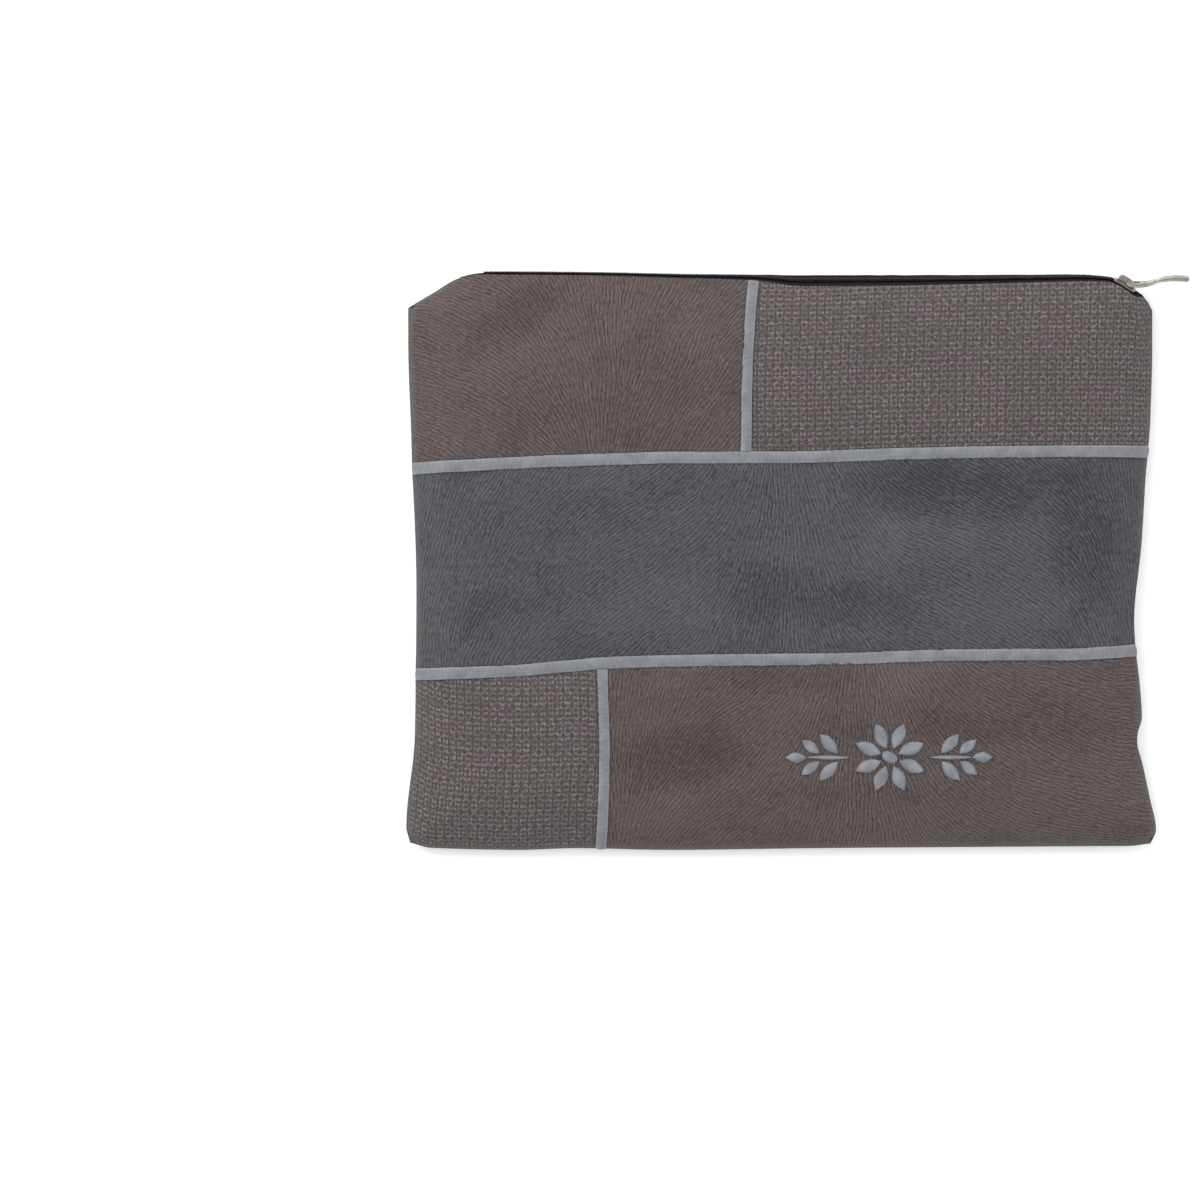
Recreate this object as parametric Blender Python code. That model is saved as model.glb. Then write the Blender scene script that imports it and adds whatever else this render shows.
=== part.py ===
"""A flat zipped cloth pouch with a patchwork front, lying on its back.

Metres, +Z up. The front looks up (+Z), the zip runs along the +Y side and
the middle of the flat underside is the origin.
"""

import math

import bmesh
import bpy
from mathutils import Matrix, Vector

MM = 0.001

# Overall size of the filled pouch, seam to seam
BAG_WIDTH = 360 * MM
BAG_HEIGHT = 279 * MM
CENTRE_THICKNESS = 25 * MM
FIELD_THICKNESS = 18 * MM

# Cloth walls and the clearances between sewn pieces
FRONT_WALL = 1.6 * MM
BACK_WALL = 1.5 * MM
SEAM_GAP = 0.3 * MM
TRIM_GAP = 0.35 * MM
MITRE_SHARE = 1.5

# How the cloth turns over to the seam at each side
SEAM_HEIGHT = 7 * MM
SIDE_ROLL = 30 * MM
BOTTOM_ROLL = 24 * MM
TOP_ROLL = 26 * MM
BACK_ROLL = 19 * MM
ROLL_POWER = 2.4
CORNER_POWER = 4
CROWN_POWER = 0.7
BULGE_SHARE = 0.25

# Where across or up the bag the shape of each edge starts to act
END_START_SHARE = 0.5
END_POWER = 1.3
FRONT_RIM_SHARE = 0.55
BACK_RIM_SHARE = 0.8
SIDE_RIM_SHARE = 0.8
NET_SHARE = 0.004

# Piping ribbons sewn over the joins of the front
CROSS_RIBBON_WIDTH = 5.9 * MM
UPRIGHT_RIBBON_WIDTH = 5.3 * MM
RIBBON_THICKNESS = 1.1 * MM
RIBBON_EDGE = 0.5 * MM
RIBBON_FLAT_SHARE = 0.55
RIBBON_MARGIN = 1 * MM
RIBBON_BUTT = 0.6 * MM

# Zip: the band between front and back, and the chain in its middle
ZIP_BAND = 11 * MM
ZIP_DROP = 3 * MM
CHAIN_WIDTH = 4.0 * MM
CHAIN_THICKNESS = 1.6 * MM
CHAIN_PROUD = 0.3 * MM
CHAIN_FLAT_SHARE = 0.7
TAPE_THICKNESS = 1.0 * MM
TAPE_TIP = 0.35 * MM

# Zip slider, measured along, across and out of the chain
SLIDER_LENGTH = 11.5 * MM
SLIDER_WIDTH = 7.2 * MM
SLIDER_PLATE = 0.9 * MM
SLIDER_SLACK = 0.35 * MM
SLIDER_POST_LENGTH = 2.6 * MM
SLIDER_POST_WIDTH = 2.2 * MM
SLIDER_NOSE_SHARE = 0.4
SLIDER_POST_SETBACK = 0.2 * MM
SLIDER_POST_CLEAR = 1.2 * MM
SLIDER_SINK_SHARE = 0.4
SLIDER_BEND_SHARE = 0.05
BRIDGE_LENGTH = 9.0 * MM
BRIDGE_WIDTH = 2.6 * MM
BRIDGE_HEIGHT = 3.4 * MM
BRIDGE_BAR = 1.1 * MM

# Pull: a wavy flat bar with an eye round the bridge
PULL_LENGTH = 29 * MM
PULL_WIDTH = 5.2 * MM
PULL_THICKNESS = 1.5 * MM
PULL_WAVE = 1.1 * MM
PULL_SLACK = 0.4 * MM
EYE_LENGTH = 4.6 * MM
EYE_BAR = 1.2 * MM
EYE_CORNER_SHARE = 0.35
PULL_EDGE_SHARE = 0.6
PULL_EDGE_MOST_SHARE = 0.3
PULL_REST_DEG = 35

# Embroidered ornament on the lower right panel
MOTIF_WIDTH = 100 * MM
MOTIF_HEIGHT = 36 * MM
MOTIF_RELIEF = 0.9 * MM
MOTIF_GAP = 0.5 * MM

# Side edges from bottom to top: place up the side, reach of the front edge,
# how far the back cloth bulges past it, and how far the seam is pulled up.
# Shares of half the height, half the width, half the width and the seam height.
RIGHT_EDGE = [
    (-1.00, 0.995, 0.000, 0.00),
    (-0.95, 1.010, 0.000, 0.00),
    (-0.83, 0.993, 0.000, 0.00),
    (-0.70, 0.972, 0.004, 0.05),
    (-0.62, 0.956, 0.017, 0.35),
    (-0.54, 0.972, 0.000, 0.00),
    (-0.42, 0.966, 0.000, 0.00),
    (-0.33, 0.957, 0.009, 0.20),
    (-0.20, 0.947, 0.019, 0.40),
    (-0.05, 0.961, 0.008, 0.20),
    (0.06, 0.971, 0.000, 0.00),
    (0.29, 0.982, 0.000, 0.00),
    (0.50, 0.995, 0.000, 0.00),
    (0.83, 1.000, 0.000, 0.00),
    (1.00, 1.000, 0.000, 0.00),
]
LEFT_EDGE = [
    (-1.00, 0.995, 0.000, 0.00),
    (-0.94, 1.005, 0.000, 0.00),
    (-0.60, 0.982, 0.000, 0.00),
    (-0.10, 0.978, 0.000, 0.00),
    (0.40, 0.991, 0.000, 0.00),
    (0.83, 1.000, 0.000, 0.00),
    (1.00, 1.000, 0.000, 0.00),
]

# Top edge from left to right: place, reach of the back edge, share of the
# zip band that is there, and how far the band shows past the front edge.
# Shares of half the width, half the height, the band and half the height.
TOP_EDGE = [
    (-1.000, 0.880, 0.00, 0.0000),
    (-0.930, 0.934, 0.02, 0.0000),
    (-0.862, 0.985, 0.16, 0.0020),
    (-0.800, 1.002, 0.66, 0.0080),
    (-0.740, 1.005, 1.00, 0.0130),
    (-0.500, 1.003, 1.00, 0.0140),
    (-0.250, 0.998, 1.00, 0.0180),
    (-0.080, 0.997, 1.00, 0.0220),
    (0.060, 0.996, 1.00, 0.0360),
    (0.350, 0.996, 1.00, 0.0345),
    (0.600, 0.997, 1.00, 0.0300),
    (0.800, 0.998, 1.00, 0.0250),
    (0.892, 0.988, 1.00, 0.0250),
    (0.962, 0.938, 0.98, 0.0250),
    (0.975, 0.924, 0.30, 0.0080),
    (0.987, 0.902, 0.04, 0.0000),
    (1.000, 0.870, 0.00, 0.0000),
]
BOTTOM_EDGE = [
    (-1.00, 0.975),
    (-0.94, 0.993),
    (-0.70, 1.000),
    (-0.55, 0.994),
    (-0.30, 1.000),
    (0.10, 0.994),
    (0.50, 0.990),
    (0.85, 0.986),
    (0.94, 0.983),
    (1.00, 0.966),
]

# Sewn joins of the front: place along the join, then its height or its reach
UPPER_JOIN = [
    (-1.00, 0.322),
    (-0.60, 0.346),
    (-0.25, 0.358),
    (0.00, 0.3585),
    (0.30, 0.370),
    (0.70, 0.3795),
    (1.00, 0.381),
]
LOWER_JOIN = [
    (-1.00, -0.392),
    (-0.73, -0.378),
    (-0.41, -0.3465),
    (-0.10, -0.340),
    (0.15, -0.336),
    (0.45, -0.324),
    (0.80, -0.321),
    (1.00, -0.308),
]
UPPER_UPRIGHT = [
    (0.38, -0.094),
    (0.65, -0.091),
    (0.82, -0.0845),
    (1.00, -0.072),
]
LOWER_UPRIGHT = [
    (-1.00, -0.483),
    (-0.90, -0.477),
    (-0.70, -0.474),
    (-0.50, -0.477),
    (-0.34, -0.482),
]

# Dents and soft folds of the front: middle across and up, turn in degrees,
# half length and half width as shares of half the bag's width, and height
# as a share of the centre thickness
FOLDS = [
    (-0.72, 0.82, 38, 0.130, 0.070, -0.090),
    (-0.60, 0.66, 20, 0.220, 0.080, 0.050),
    (0.43, 0.25, -5, 0.260, 0.075, -0.085),
    (0.82, 0.12, 80, 0.220, 0.080, -0.080),
    (0.07, -0.14, -10, 0.230, 0.080, -0.080),
    (-0.45, 0.02, 14, 0.300, 0.090, 0.050),
    (0.40, 0.02, 12, 0.260, 0.085, 0.055),
    (-0.28, -0.69, 8, 0.160, 0.080, -0.110),
    (0.00, -0.41, 0, 0.200, 0.070, -0.050),
    (0.33, -0.45, 25, 0.140, 0.070, 0.060),
    (0.66, -0.56, -8, 0.170, 0.070, -0.060),
    (-0.32, -0.88, 4, 0.170, 0.070, 0.080),
    (0.93, -0.55, 70, 0.080, 0.060, -0.160),
    (0.55, -0.86, 6, 0.260, 0.075, 0.045),
    (0.35, 0.68, -18, 0.300, 0.090, -0.040),
    (0.70, 0.78, 20, 0.180, 0.080, 0.035),
]

# Columns of the front and back nets: places across, shares of half the width
FRONT_COLUMNS = [
    -1.0, -0.984, -0.962, -0.932, -0.892, -0.862, -0.825, -0.80, -0.74, -0.66,
    -0.58, -0.52, -0.45, -0.38, -0.28, -0.19, -0.13, -0.05, 0.05, 0.14, 0.23,
    0.32, 0.41, 0.50, 0.59, 0.68, 0.76, 0.83, 0.892, 0.932, 0.962, 0.975,
    0.987, 1.0,
]
BACK_COLUMNS = [
    -1.0, -0.984, -0.962, -0.932, -0.892, -0.862, -0.80, -0.74, -0.45, -0.15,
    0.15, 0.45, 0.80, 0.892, 0.932, 0.962, 0.975, 0.987, 1.0,
]
COLUMN_APART_SHARE = 0.02
EDGE_COLUMN_SHARE = 0.85

# Rows of a panel between its lower and its upper bound, as shares
TOP_SHARES = [0.0, 0.05, 0.17, 0.31, 0.45, 0.58, 0.70, 0.80, 0.87, 0.915, 0.955, 1.0]
MIDDLE_SHARES = [0.0, 0.045, 0.15, 0.26, 0.38, 0.50, 0.62, 0.74, 0.85, 0.955, 1.0]
BOTTOM_SHARES = [0.0, 0.04, 0.08, 0.12, 0.185, 0.27, 0.37, 0.48, 0.60, 0.72, 0.84, 0.95, 1.0]

# Which row of the back, counted from either end, its edge turns up from
BACK_TURN_ROW = 4

# Straight outer bounds of the panels, written like the joins
LEFT_SIDE = [(-1.0, -1.0), (1.0, -1.0)]
RIGHT_SIDE = [(-1.0, 1.0), (1.0, 1.0)]
BOTTOM_SIDE = [(-1.0, -1.0), (1.0, -1.0)]
TOP_SIDE = [(-1.0, 1.0), (1.0, 1.0)]

# Zip stations along the top: ends of the tapes, of the chain and of the slider
ZIP_START_SHARE = -0.862
CHAIN_START_SHARE = -0.80
SLIDER_START_SHARE = 0.892
SLIDER_END_SHARE = 0.962
ZIP_END_SHARE = 0.975
CHAIN_STATIONS = 26

# Outline of the slider's plates, shares of half its length and half its width
PLATE_OUTLINE = [
    (-1.00, -0.62),
    (-0.86, -0.76),
    (-0.10, -0.84),
    (0.25, -1.00),
    (0.80, -1.00),
    (1.00, -0.78),
    (1.00, 0.78),
    (0.80, 1.00),
    (0.25, 1.00),
    (-0.10, 0.84),
    (-0.86, 0.76),
    (-1.00, 0.62),
]

# Arch of the slider's bridge, shares of half its length and of its height
BRIDGE_ARCH = [
    (-1.00, 0.00),
    (-0.97, 0.62),
    (-0.84, 0.88),
    (-0.60, 0.99),
    (-0.10, 1.00),
    (0.35, 0.94),
    (0.68, 0.80),
    (0.90, 0.56),
    (1.00, 0.00),
]

# Pull from its eye to its free end: share of the length, of the width, of
# the thickness, and how far the wave carries it out, a share of the wave
PULL_STATIONS = [
    (0.000, 0.94, 0.60, 0.00),
    (0.016, 1.00, 0.80, 0.00),
    (0.055, 1.00, 0.84, -0.05),
    (0.130, 1.00, 0.92, -0.30),
    (0.200, 1.00, 1.00, -0.50),
    (0.280, 0.98, 1.00, -0.55),
    (0.370, 0.96, 1.00, -0.25),
    (0.460, 0.95, 1.00, 0.30),
    (0.550, 0.95, 1.00, 0.80),
    (0.640, 0.95, 1.00, 1.00),
    (0.740, 0.95, 1.00, 0.95),
    (0.850, 0.95, 1.00, 0.65),
    (0.960, 0.93, 1.00, 0.20),
    (1.000, 0.78, 0.60, 0.00),
]

# Padding of a stitched field from the cloth up: share of its outline and
# share of its height
PADDING_STEPS = [
    (1.0, 0.0),
    (1.0, 0.45),
    (0.5, 1.0),
]

# Places along a leaf's edge, shares of half its length
LEAF_STATIONS = (-1.0, -0.62, -0.2, 0.2, 0.62)

# Leaves of one half of the ornament: middle across and up, turn in degrees,
# length and width, as shares of half its width and of half its height
LEAVES = [
    (0.59, 0.37, 47, 0.245, 0.29),
    (0.59, -0.37, -47, 0.245, 0.29),
    (0.765, 0.29, 38, 0.205, 0.25),
    (0.765, -0.29, -38, 0.205, 0.25),
    (0.905, 0.0, 0, 0.190, 0.26),
]
MOTIF_MIDDLE = (0.291, -0.679)
PETALS = 8
PETAL_START_SHARE = 0.27
PETAL_END_SHARE = 0.98
PETAL_WIDTH_SHARE = 0.32
BUTTON_SIDES = 10
BUTTON_RADIUS_SHARE = 0.19
STEM_START_SHARE = 0.40
STEM_END_SHARE = 0.795
STEM_WIDTH_SHARE = 0.085


def clear_scene():
    """Remove whatever the scene holds."""
    for item in list(bpy.data.objects):
        bpy.data.objects.remove(item, do_unlink=True)


def finish(name, color, roughness, metallic=0.0):
    """A plain Principled material."""
    material = bpy.data.materials.new(name)
    material.use_nodes = True
    shader = material.node_tree.nodes["Principled BSDF"]
    shader.inputs["Base Color"].default_value = (*color, 1.0)
    shader.inputs["Roughness"].default_value = roughness
    shader.inputs["Metallic"].default_value = metallic
    material.diffuse_color = (*color, 1.0)
    return material


def through(rows, column, place):
    """A smooth curve through one column of a table, read at a place."""
    places = [row[0] for row in rows]
    values = [row[column] for row in rows]
    place = min(max(place, places[0]), places[-1])
    start = max(i for i in range(len(rows) - 1) if places[i] <= place)

    def secant(i):
        return (values[i + 1] - values[i]) / (places[i + 1] - places[i])

    def slope(i):
        if i == 0:
            return secant(0)
        if i == len(rows) - 1:
            return secant(i - 1)
        before = secant(i - 1)
        after = secant(i)
        if before * after <= 0:
            return 0.0
        return 2 * before * after / (before + after)

    step = places[start + 1] - places[start]
    t = (place - places[start]) / step
    rise = values[start + 1] - values[start]
    blend = t * t * (3 - 2 * t)
    lead = t * (1 - t) ** 2 * step * slope(start)
    trail = t * t * (t - 1) * step * slope(start + 1)
    return values[start] + rise * blend + lead + trail


def soft_step(value, start, end):
    """0 before start, 1 after end, and a smooth rise between them."""
    t = min(max((value - start) / (end - start), 0.0), 1.0)
    return t * t * (3 - 2 * t)


def side_table(u):
    """The edge table of the side that a place belongs to."""
    return RIGHT_EDGE if u >= 0 else LEFT_EDGE


def zip_share(u):
    """How much of the zip band there is at a place across the top."""
    return max(through(TOP_EDGE, 2, u), 0.0)


def band_show(u):
    """How far the zip band shows past the front edge, in metres."""
    return through(TOP_EDGE, 3, u) * BAG_HEIGHT / 2


def back_rim_height(u):
    """Height of the back edge under the zip."""
    return SEAM_HEIGHT - ZIP_DROP * zip_share(u)


def front_rim_height(u):
    """Height of the front edge over the zip."""
    band = max(ZIP_BAND * zip_share(u), band_show(u))
    return back_rim_height(u) + math.sqrt(band ** 2 - band_show(u) ** 2)


def end_part(v):
    """How strongly the shape of the top edge acts at a place up the bag."""
    return max((v - END_START_SHARE) / (1 - END_START_SHARE), 0.0) ** END_POWER


def plan(u, v):
    """Place of a net point on the floor plan."""
    reach = through(side_table(u), 1, v)
    x = BAG_WIDTH / 2 * (u + (reach - 1) * u ** 3)
    top = through(TOP_EDGE, 1, u) - 1
    bottom = 1 - through(BOTTOM_EDGE, 1, u)
    y = BAG_HEIGHT / 2 * (v + top * end_part(v) + bottom * end_part(-v))
    return Vector((x, y, 0))


def edge_outward(before, after):
    """Level direction out of the top edge between two places across."""
    along = plan(after, 1) - plan(before, 1)
    return Vector((-along.y, along.x, 0)).normalized()


def top_outward(u):
    """Level direction out of the top edge, held steady along the slider."""
    local = edge_outward(max(u - 2 * NET_SHARE, -1), min(u + 2 * NET_SHARE, 1))
    held = edge_outward(SLIDER_START_SHARE, SLIDER_END_SHARE)
    near = soft_step(u, SLIDER_START_SHARE - SLIDER_BEND_SHARE, SLIDER_START_SHARE)
    near *= 1 - soft_step(u, SLIDER_END_SHARE, SLIDER_END_SHARE + SLIDER_BEND_SHARE)
    return local.lerp(held, near).normalized()


def roll(distance, length):
    """Share of the full height at a distance from an edge."""
    t = min(max(distance / length, 0.0), 1.0)
    return 1 - (1 - t) ** ROLL_POWER


def fold_height(u, v):
    """Sum of the dents and soft folds of the front."""
    total = 0.0
    aspect = BAG_HEIGHT / BAG_WIDTH
    for across, up, turn, length, width, height in FOLDS:
        angle = math.radians(turn)
        dx = u - across
        dy = (v - up) * aspect
        along = dx * math.cos(angle) + dy * math.sin(angle)
        aside = dy * math.cos(angle) - dx * math.sin(angle)
        total += height * math.exp(-(along / length) ** 2 - (aside / width) ** 2)
    return total * CENTRE_THICKNESS


def seam_height(u, v):
    """Height of the side seam, pulled up where the cloth is pinched."""
    lift = through(side_table(u), 3, v) * soft_step(abs(u), SIDE_RIM_SHARE, 1.0)
    return SEAM_HEIGHT * (1 + lift)


def joined(first, second):
    """Two nearnesses to an edge as one, close to the larger of them."""
    return (first ** CORNER_POWER + second ** CORNER_POWER) ** (1 / CORNER_POWER)


def front_point(u, v):
    """A point on the outside of the front."""
    place = plan(u, v) - top_outward(u) * band_show(u) * end_part(v)
    side = (1 - abs(u)) * BAG_WIDTH / 2
    low = (1 + v) * BAG_HEIGHT / 2
    high = (1 - v) * BAG_HEIGHT / 2
    end = joined(1 - roll(low, BOTTOM_ROLL), 1 - roll(high, TOP_ROLL))
    full = max(1 - joined(1 - roll(side, SIDE_ROLL), end), 0.0)
    rim = seam_height(u, v)
    rim += (front_rim_height(u) - SEAM_HEIGHT) * soft_step(v, FRONT_RIM_SHARE, 1.0)
    crown = (max(1 - u * u, 0.0) * max(1 - v * v, 0.0)) ** CROWN_POWER
    field = FIELD_THICKNESS + (CENTRE_THICKNESS - FIELD_THICKNESS) * crown
    place.z = rim + (field + fold_height(u, v) - rim) * full
    return place


def back_point(u, v):
    """A point on the outside of the back, flat where it rests."""
    place = plan(u, v)
    side = max(1 - (1 - abs(u)) * BAG_WIDTH / 2 / BACK_ROLL, 0.0)
    end = max(1 - (1 - abs(v)) * BAG_HEIGHT / 2 / BACK_ROLL, 0.0)
    lift = min(joined(side ** 2, end ** 2), 1.0)
    rim = seam_height(u, v)
    rim += (back_rim_height(u) - SEAM_HEIGHT) * soft_step(v, BACK_RIM_SHARE, 1.0)
    inward = (1 - side) / BULGE_SHARE
    bulge = through(side_table(u), 2, v) * inward * math.exp(1 - inward) * side
    place.x += math.copysign(bulge * BAG_WIDTH / 2, u)
    place.z = rim * lift
    return place


def normal_at(surface, u, v, outward):
    """Unit normal of a surface, on the side that outward names."""
    left = surface(max(u - NET_SHARE, -1), v)
    right = surface(min(u + NET_SHARE, 1), v)
    low = surface(u, max(v - NET_SHARE, -1))
    high = surface(u, min(v + NET_SHARE, 1))
    return (right - left).cross(high - low).normalized() * outward


def on_front(u, v, height):
    """A point at a height over the outside of the front."""
    return front_point(u, v) + normal_at(front_point, u, v, 1) * height


def inside_point(surface, u, v, outward, wall):
    """Where the inside of a wall lies.

    At the rim it turns level and follows its column, and where front and back
    press together in a corner each keeps to its own side of the middle.
    """
    point = surface(u, v)
    across = 1 if u >= 1 else -1 if u <= -1 else 0
    up = 1 if v >= 1 else -1 if v <= -1 else 0
    if across:
        return point - Vector((across, up, 0)) * wall * MITRE_SHARE
    if up:
        column = surface(u, v - up * NET_SHARE) - point
        follow = 1 - soft_step(abs(u), SLIDER_START_SHARE, SLIDER_END_SHARE)
        return point + Vector((follow * column.x / abs(column.y), -up, 0)) * wall * MITRE_SHARE
    inside = point - normal_at(surface, u, v, outward) * wall
    middle = (front_point(u, v).z + back_point(u, v).z) / 2
    if outward > 0:
        inside.z = max(inside.z, middle + SEAM_GAP / 2)
    else:
        inside.z = min(inside.z, middle - SEAM_GAP / 2)
    return inside


def add_object(name, mesh_data, material, smooth_angle=None):
    """Make an object with a name, its mesh and its material."""
    mesh = bpy.data.meshes.new(name)
    mesh_data.to_mesh(mesh)
    mesh_data.free()
    mesh.materials.append(material)
    if smooth_angle is not None:
        mesh.shade_smooth()
        mesh.set_sharp_from_angle(angle=math.radians(smooth_angle))
    thing = bpy.data.objects.new(name, mesh)
    bpy.context.scene.collection.objects.link(thing)
    return thing


def face_out(data):
    """Point every face of a closed mesh outwards."""
    bmesh.ops.recalc_face_normals(data, faces=data.faces)
    if data.calc_volume(signed=True) < 0:
        bmesh.ops.reverse_faces(data, faces=data.faces)


def add_cell(data, net, i, j):
    """Fill one cell of a net. A corner cell is split through its corner."""
    cell = [net[i][j], net[i][j + 1], net[i + 1][j + 1], net[i + 1][j]]
    low_row = i == 0
    high_row = i == len(net) - 2
    low_column = j == 0
    high_column = j == len(net[0]) - 2
    if (low_row and low_column) or (high_row and high_column):
        data.faces.new((cell[0], cell[1], cell[2]))
        data.faces.new((cell[0], cell[2], cell[3]))
    elif (low_row and high_column) or (high_row and low_column):
        data.faces.new((cell[1], cell[2], cell[3]))
        data.faces.new((cell[1], cell[3], cell[0]))
    else:
        data.faces.new(cell)


def wall_mesh(outer, inner):
    """Close two nets of points into one wall."""
    data = bmesh.new()
    nets = [[[data.verts.new(point) for point in row] for row in net] for net in (outer, inner)]
    rows = len(outer)
    columns = len(outer[0])
    for net in nets:
        for i in range(rows - 1):
            for j in range(columns - 1):
                add_cell(data, net, i, j)
    border = [(0, j) for j in range(columns)]
    border += [(i, columns - 1) for i in range(1, rows)]
    border += [(rows - 1, j) for j in range(columns - 2, -1, -1)]
    border += [(i, 0) for i in range(rows - 2, 0, -1)]
    for k, (i, j) in enumerate(border):
        m, n = border[(k + 1) % len(border)]
        data.faces.new((nets[0][i][j], nets[0][m][n], nets[1][m][n], nets[1][i][j]))
    face_out(data)
    return data


def tube_mesh(rings):
    """Join closed rings of points end to end and cap both ends."""
    data = bmesh.new()
    loops = [[data.verts.new(point) for point in ring] for ring in rings]
    count = len(rings[0])
    for here, there in zip(loops, loops[1:]):
        for k in range(count):
            m = (k + 1) % count
            data.faces.new((here[k], here[m], there[m], there[k]))
    data.faces.new(loops[0])
    data.faces.new(loops[-1])
    face_out(data)
    return data


def columns_between(left, right):
    """Net columns of a panel, with its own ends and the ribbon's edges."""
    edge = (UPRIGHT_RIBBON_WIDTH / 2 + RIBBON_MARGIN) / (BAG_WIDTH / 2)
    low = left + edge if left > -1 else left
    high = right - edge if right < 1 else right
    columns = {left, low, high, right}
    for column in FRONT_COLUMNS:
        clear = low + COLUMN_APART_SHARE < column < high - COLUMN_APART_SHARE
        at_side = abs(column) >= EDGE_COLUMN_SHARE and left <= column <= right
        if clear or at_side:
            columns.add(column)
    return sorted(columns)


def front_panel(name, material, left, right, low, high, shares):
    """One sewn panel of the front, inside four bounds."""
    gap_u = SEAM_GAP / BAG_WIDTH
    gap_v = SEAM_GAP / BAG_HEIGHT
    middle_v = (through(low, 1, 0.0) + through(high, 1, 0.0)) / 2
    nominal_left = through(left, 1, middle_v)
    nominal_right = through(right, 1, middle_v)
    outer = []
    inner = []
    for share in shares:
        outer_row = []
        inner_row = []
        for column in columns_between(nominal_left, nominal_right):
            bottom = through(low, 1, column) + (0 if low is BOTTOM_SIDE else gap_v)
            top = through(high, 1, column) - (0 if high is TOP_SIDE else gap_v)
            v = bottom + (top - bottom) * share
            part = (column - nominal_left) / (nominal_right - nominal_left)
            start = through(left, 1, v) + (0 if left is LEFT_SIDE else gap_u)
            end = through(right, 1, v) - (0 if right is RIGHT_SIDE else gap_u)
            u = start + (end - start) * part
            point = front_point(u, v)
            inside = inside_point(front_point, u, v, 1, FRONT_WALL)
            if abs(u) >= 1 or v <= -1:
                point = point + Vector((0, 0, SEAM_GAP / 2))
                inside = inside + Vector((0, 0, SEAM_GAP / 2))
            outer_row.append(point)
            inner_row.append(inside)
        outer.append(outer_row)
        inner.append(inner_row)
    return add_object(name, wall_mesh(outer, inner), material, 60)


def make_front(finishes):
    """The five panels of the front."""
    suede = finishes["suede"]
    weave = finishes["weave"]
    band = finishes["band"]
    top = (UPPER_JOIN, TOP_SIDE, TOP_SHARES)
    middle = (LOWER_JOIN, UPPER_JOIN, MIDDLE_SHARES)
    bottom = (BOTTOM_SIDE, LOWER_JOIN, BOTTOM_SHARES)
    front_panel("upper_left_panel", suede, LEFT_SIDE, UPPER_UPRIGHT, *top)
    front_panel("upper_right_panel", weave, UPPER_UPRIGHT, RIGHT_SIDE, *top)
    front_panel("middle_band", band, LEFT_SIDE, RIGHT_SIDE, *middle)
    front_panel("lower_left_panel", weave, LEFT_SIDE, LOWER_UPRIGHT, *bottom)
    front_panel("lower_right_panel", suede, LOWER_UPRIGHT, RIGHT_SIDE, *bottom)


def back_rows(u):
    """Rows of the back net, which meet the rows of the front at the seam.

    Away from the side seams, a row near each end lies where the edge turns up.
    """
    lower = through(LOWER_JOIN, 1, u)
    upper = through(UPPER_JOIN, 1, u)
    rows = [-1 + (lower + 1) * share for share in BOTTOM_SHARES]
    rows += [lower + (upper - lower) * share for share in MIDDLE_SHARES[1:]]
    rows += [upper + (1 - upper) * share for share in TOP_SHARES[1:]]
    turn = 1 - BACK_ROLL / (BAG_HEIGHT / 2)
    near = soft_step(abs(u), SLIDER_START_SHARE, 1.0)
    rows[BACK_TURN_ROW] = rows[BACK_TURN_ROW] * near - turn * (1 - near)
    rows[-1 - BACK_TURN_ROW] = rows[-1 - BACK_TURN_ROW] * near + turn * (1 - near)
    return rows


def back_part(name, material, columns, first=0, last=None):
    """One solid of the back, between two rows and two columns of its net."""
    gap_v = SEAM_GAP / BAG_HEIGHT
    outer = []
    inner = []
    for number in range(len(back_rows(0)[first:last])):
        outer_row = []
        inner_row = []
        for u in columns:
            rows = back_rows(u)[first:last]
            rows[0] += gap_v if rows[0] > -1 else 0
            rows[-1] -= gap_v if rows[-1] < 1 else 0
            v = rows[number]
            point = back_point(u, v)
            inside = inside_point(back_point, u, v, -1, BACK_WALL)
            if abs(u) >= 1 or abs(v) >= 1:
                point = point - Vector((0, 0, SEAM_GAP / 2))
                inside = inside - Vector((0, 0, SEAM_GAP / 2))
            outer_row.append(point)
            inner_row.append(inside)
        outer.append(outer_row)
        inner.append(inner_row)
    return add_object(name, wall_mesh(outer, inner), material, 60)


def make_back(material):
    """The back: a flat middle, and an edge on each side turned up to the seam."""
    gap_u = SEAM_GAP / BAG_WIDTH
    cut = SLIDER_START_SHARE
    middle = [gap_u - cut] + [u for u in BACK_COLUMNS if abs(u) < cut] + [cut - gap_u]
    right = [cut + gap_u] + [u for u in BACK_COLUMNS if u > cut]
    left = [-u for u in right[::-1]]
    low = BACK_TURN_ROW
    back_part("back_panel", material, [middle[0], middle[-1]], low, -low)
    back_part("back_left_edge", material, left)
    back_part("back_right_edge", material, right)
    back_part("back_top_edge", material, middle, first=-1 - low)
    back_part("back_bottom_edge", material, middle, last=low + 1)


def ribbon_ring(place, width):
    """One cross section of a ribbon. place gives a point for an aside and a height."""
    half = width / 2
    top = TRIM_GAP + RIBBON_THICKNESS
    edge = TRIM_GAP + RIBBON_EDGE
    return [
        place(-half, TRIM_GAP),
        place(0, TRIM_GAP),
        place(half, TRIM_GAP),
        place(half, edge),
        place(half * RIBBON_FLAT_SHARE, top),
        place(-half * RIBBON_FLAT_SHARE, top),
        place(-half, edge),
    ]


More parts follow.
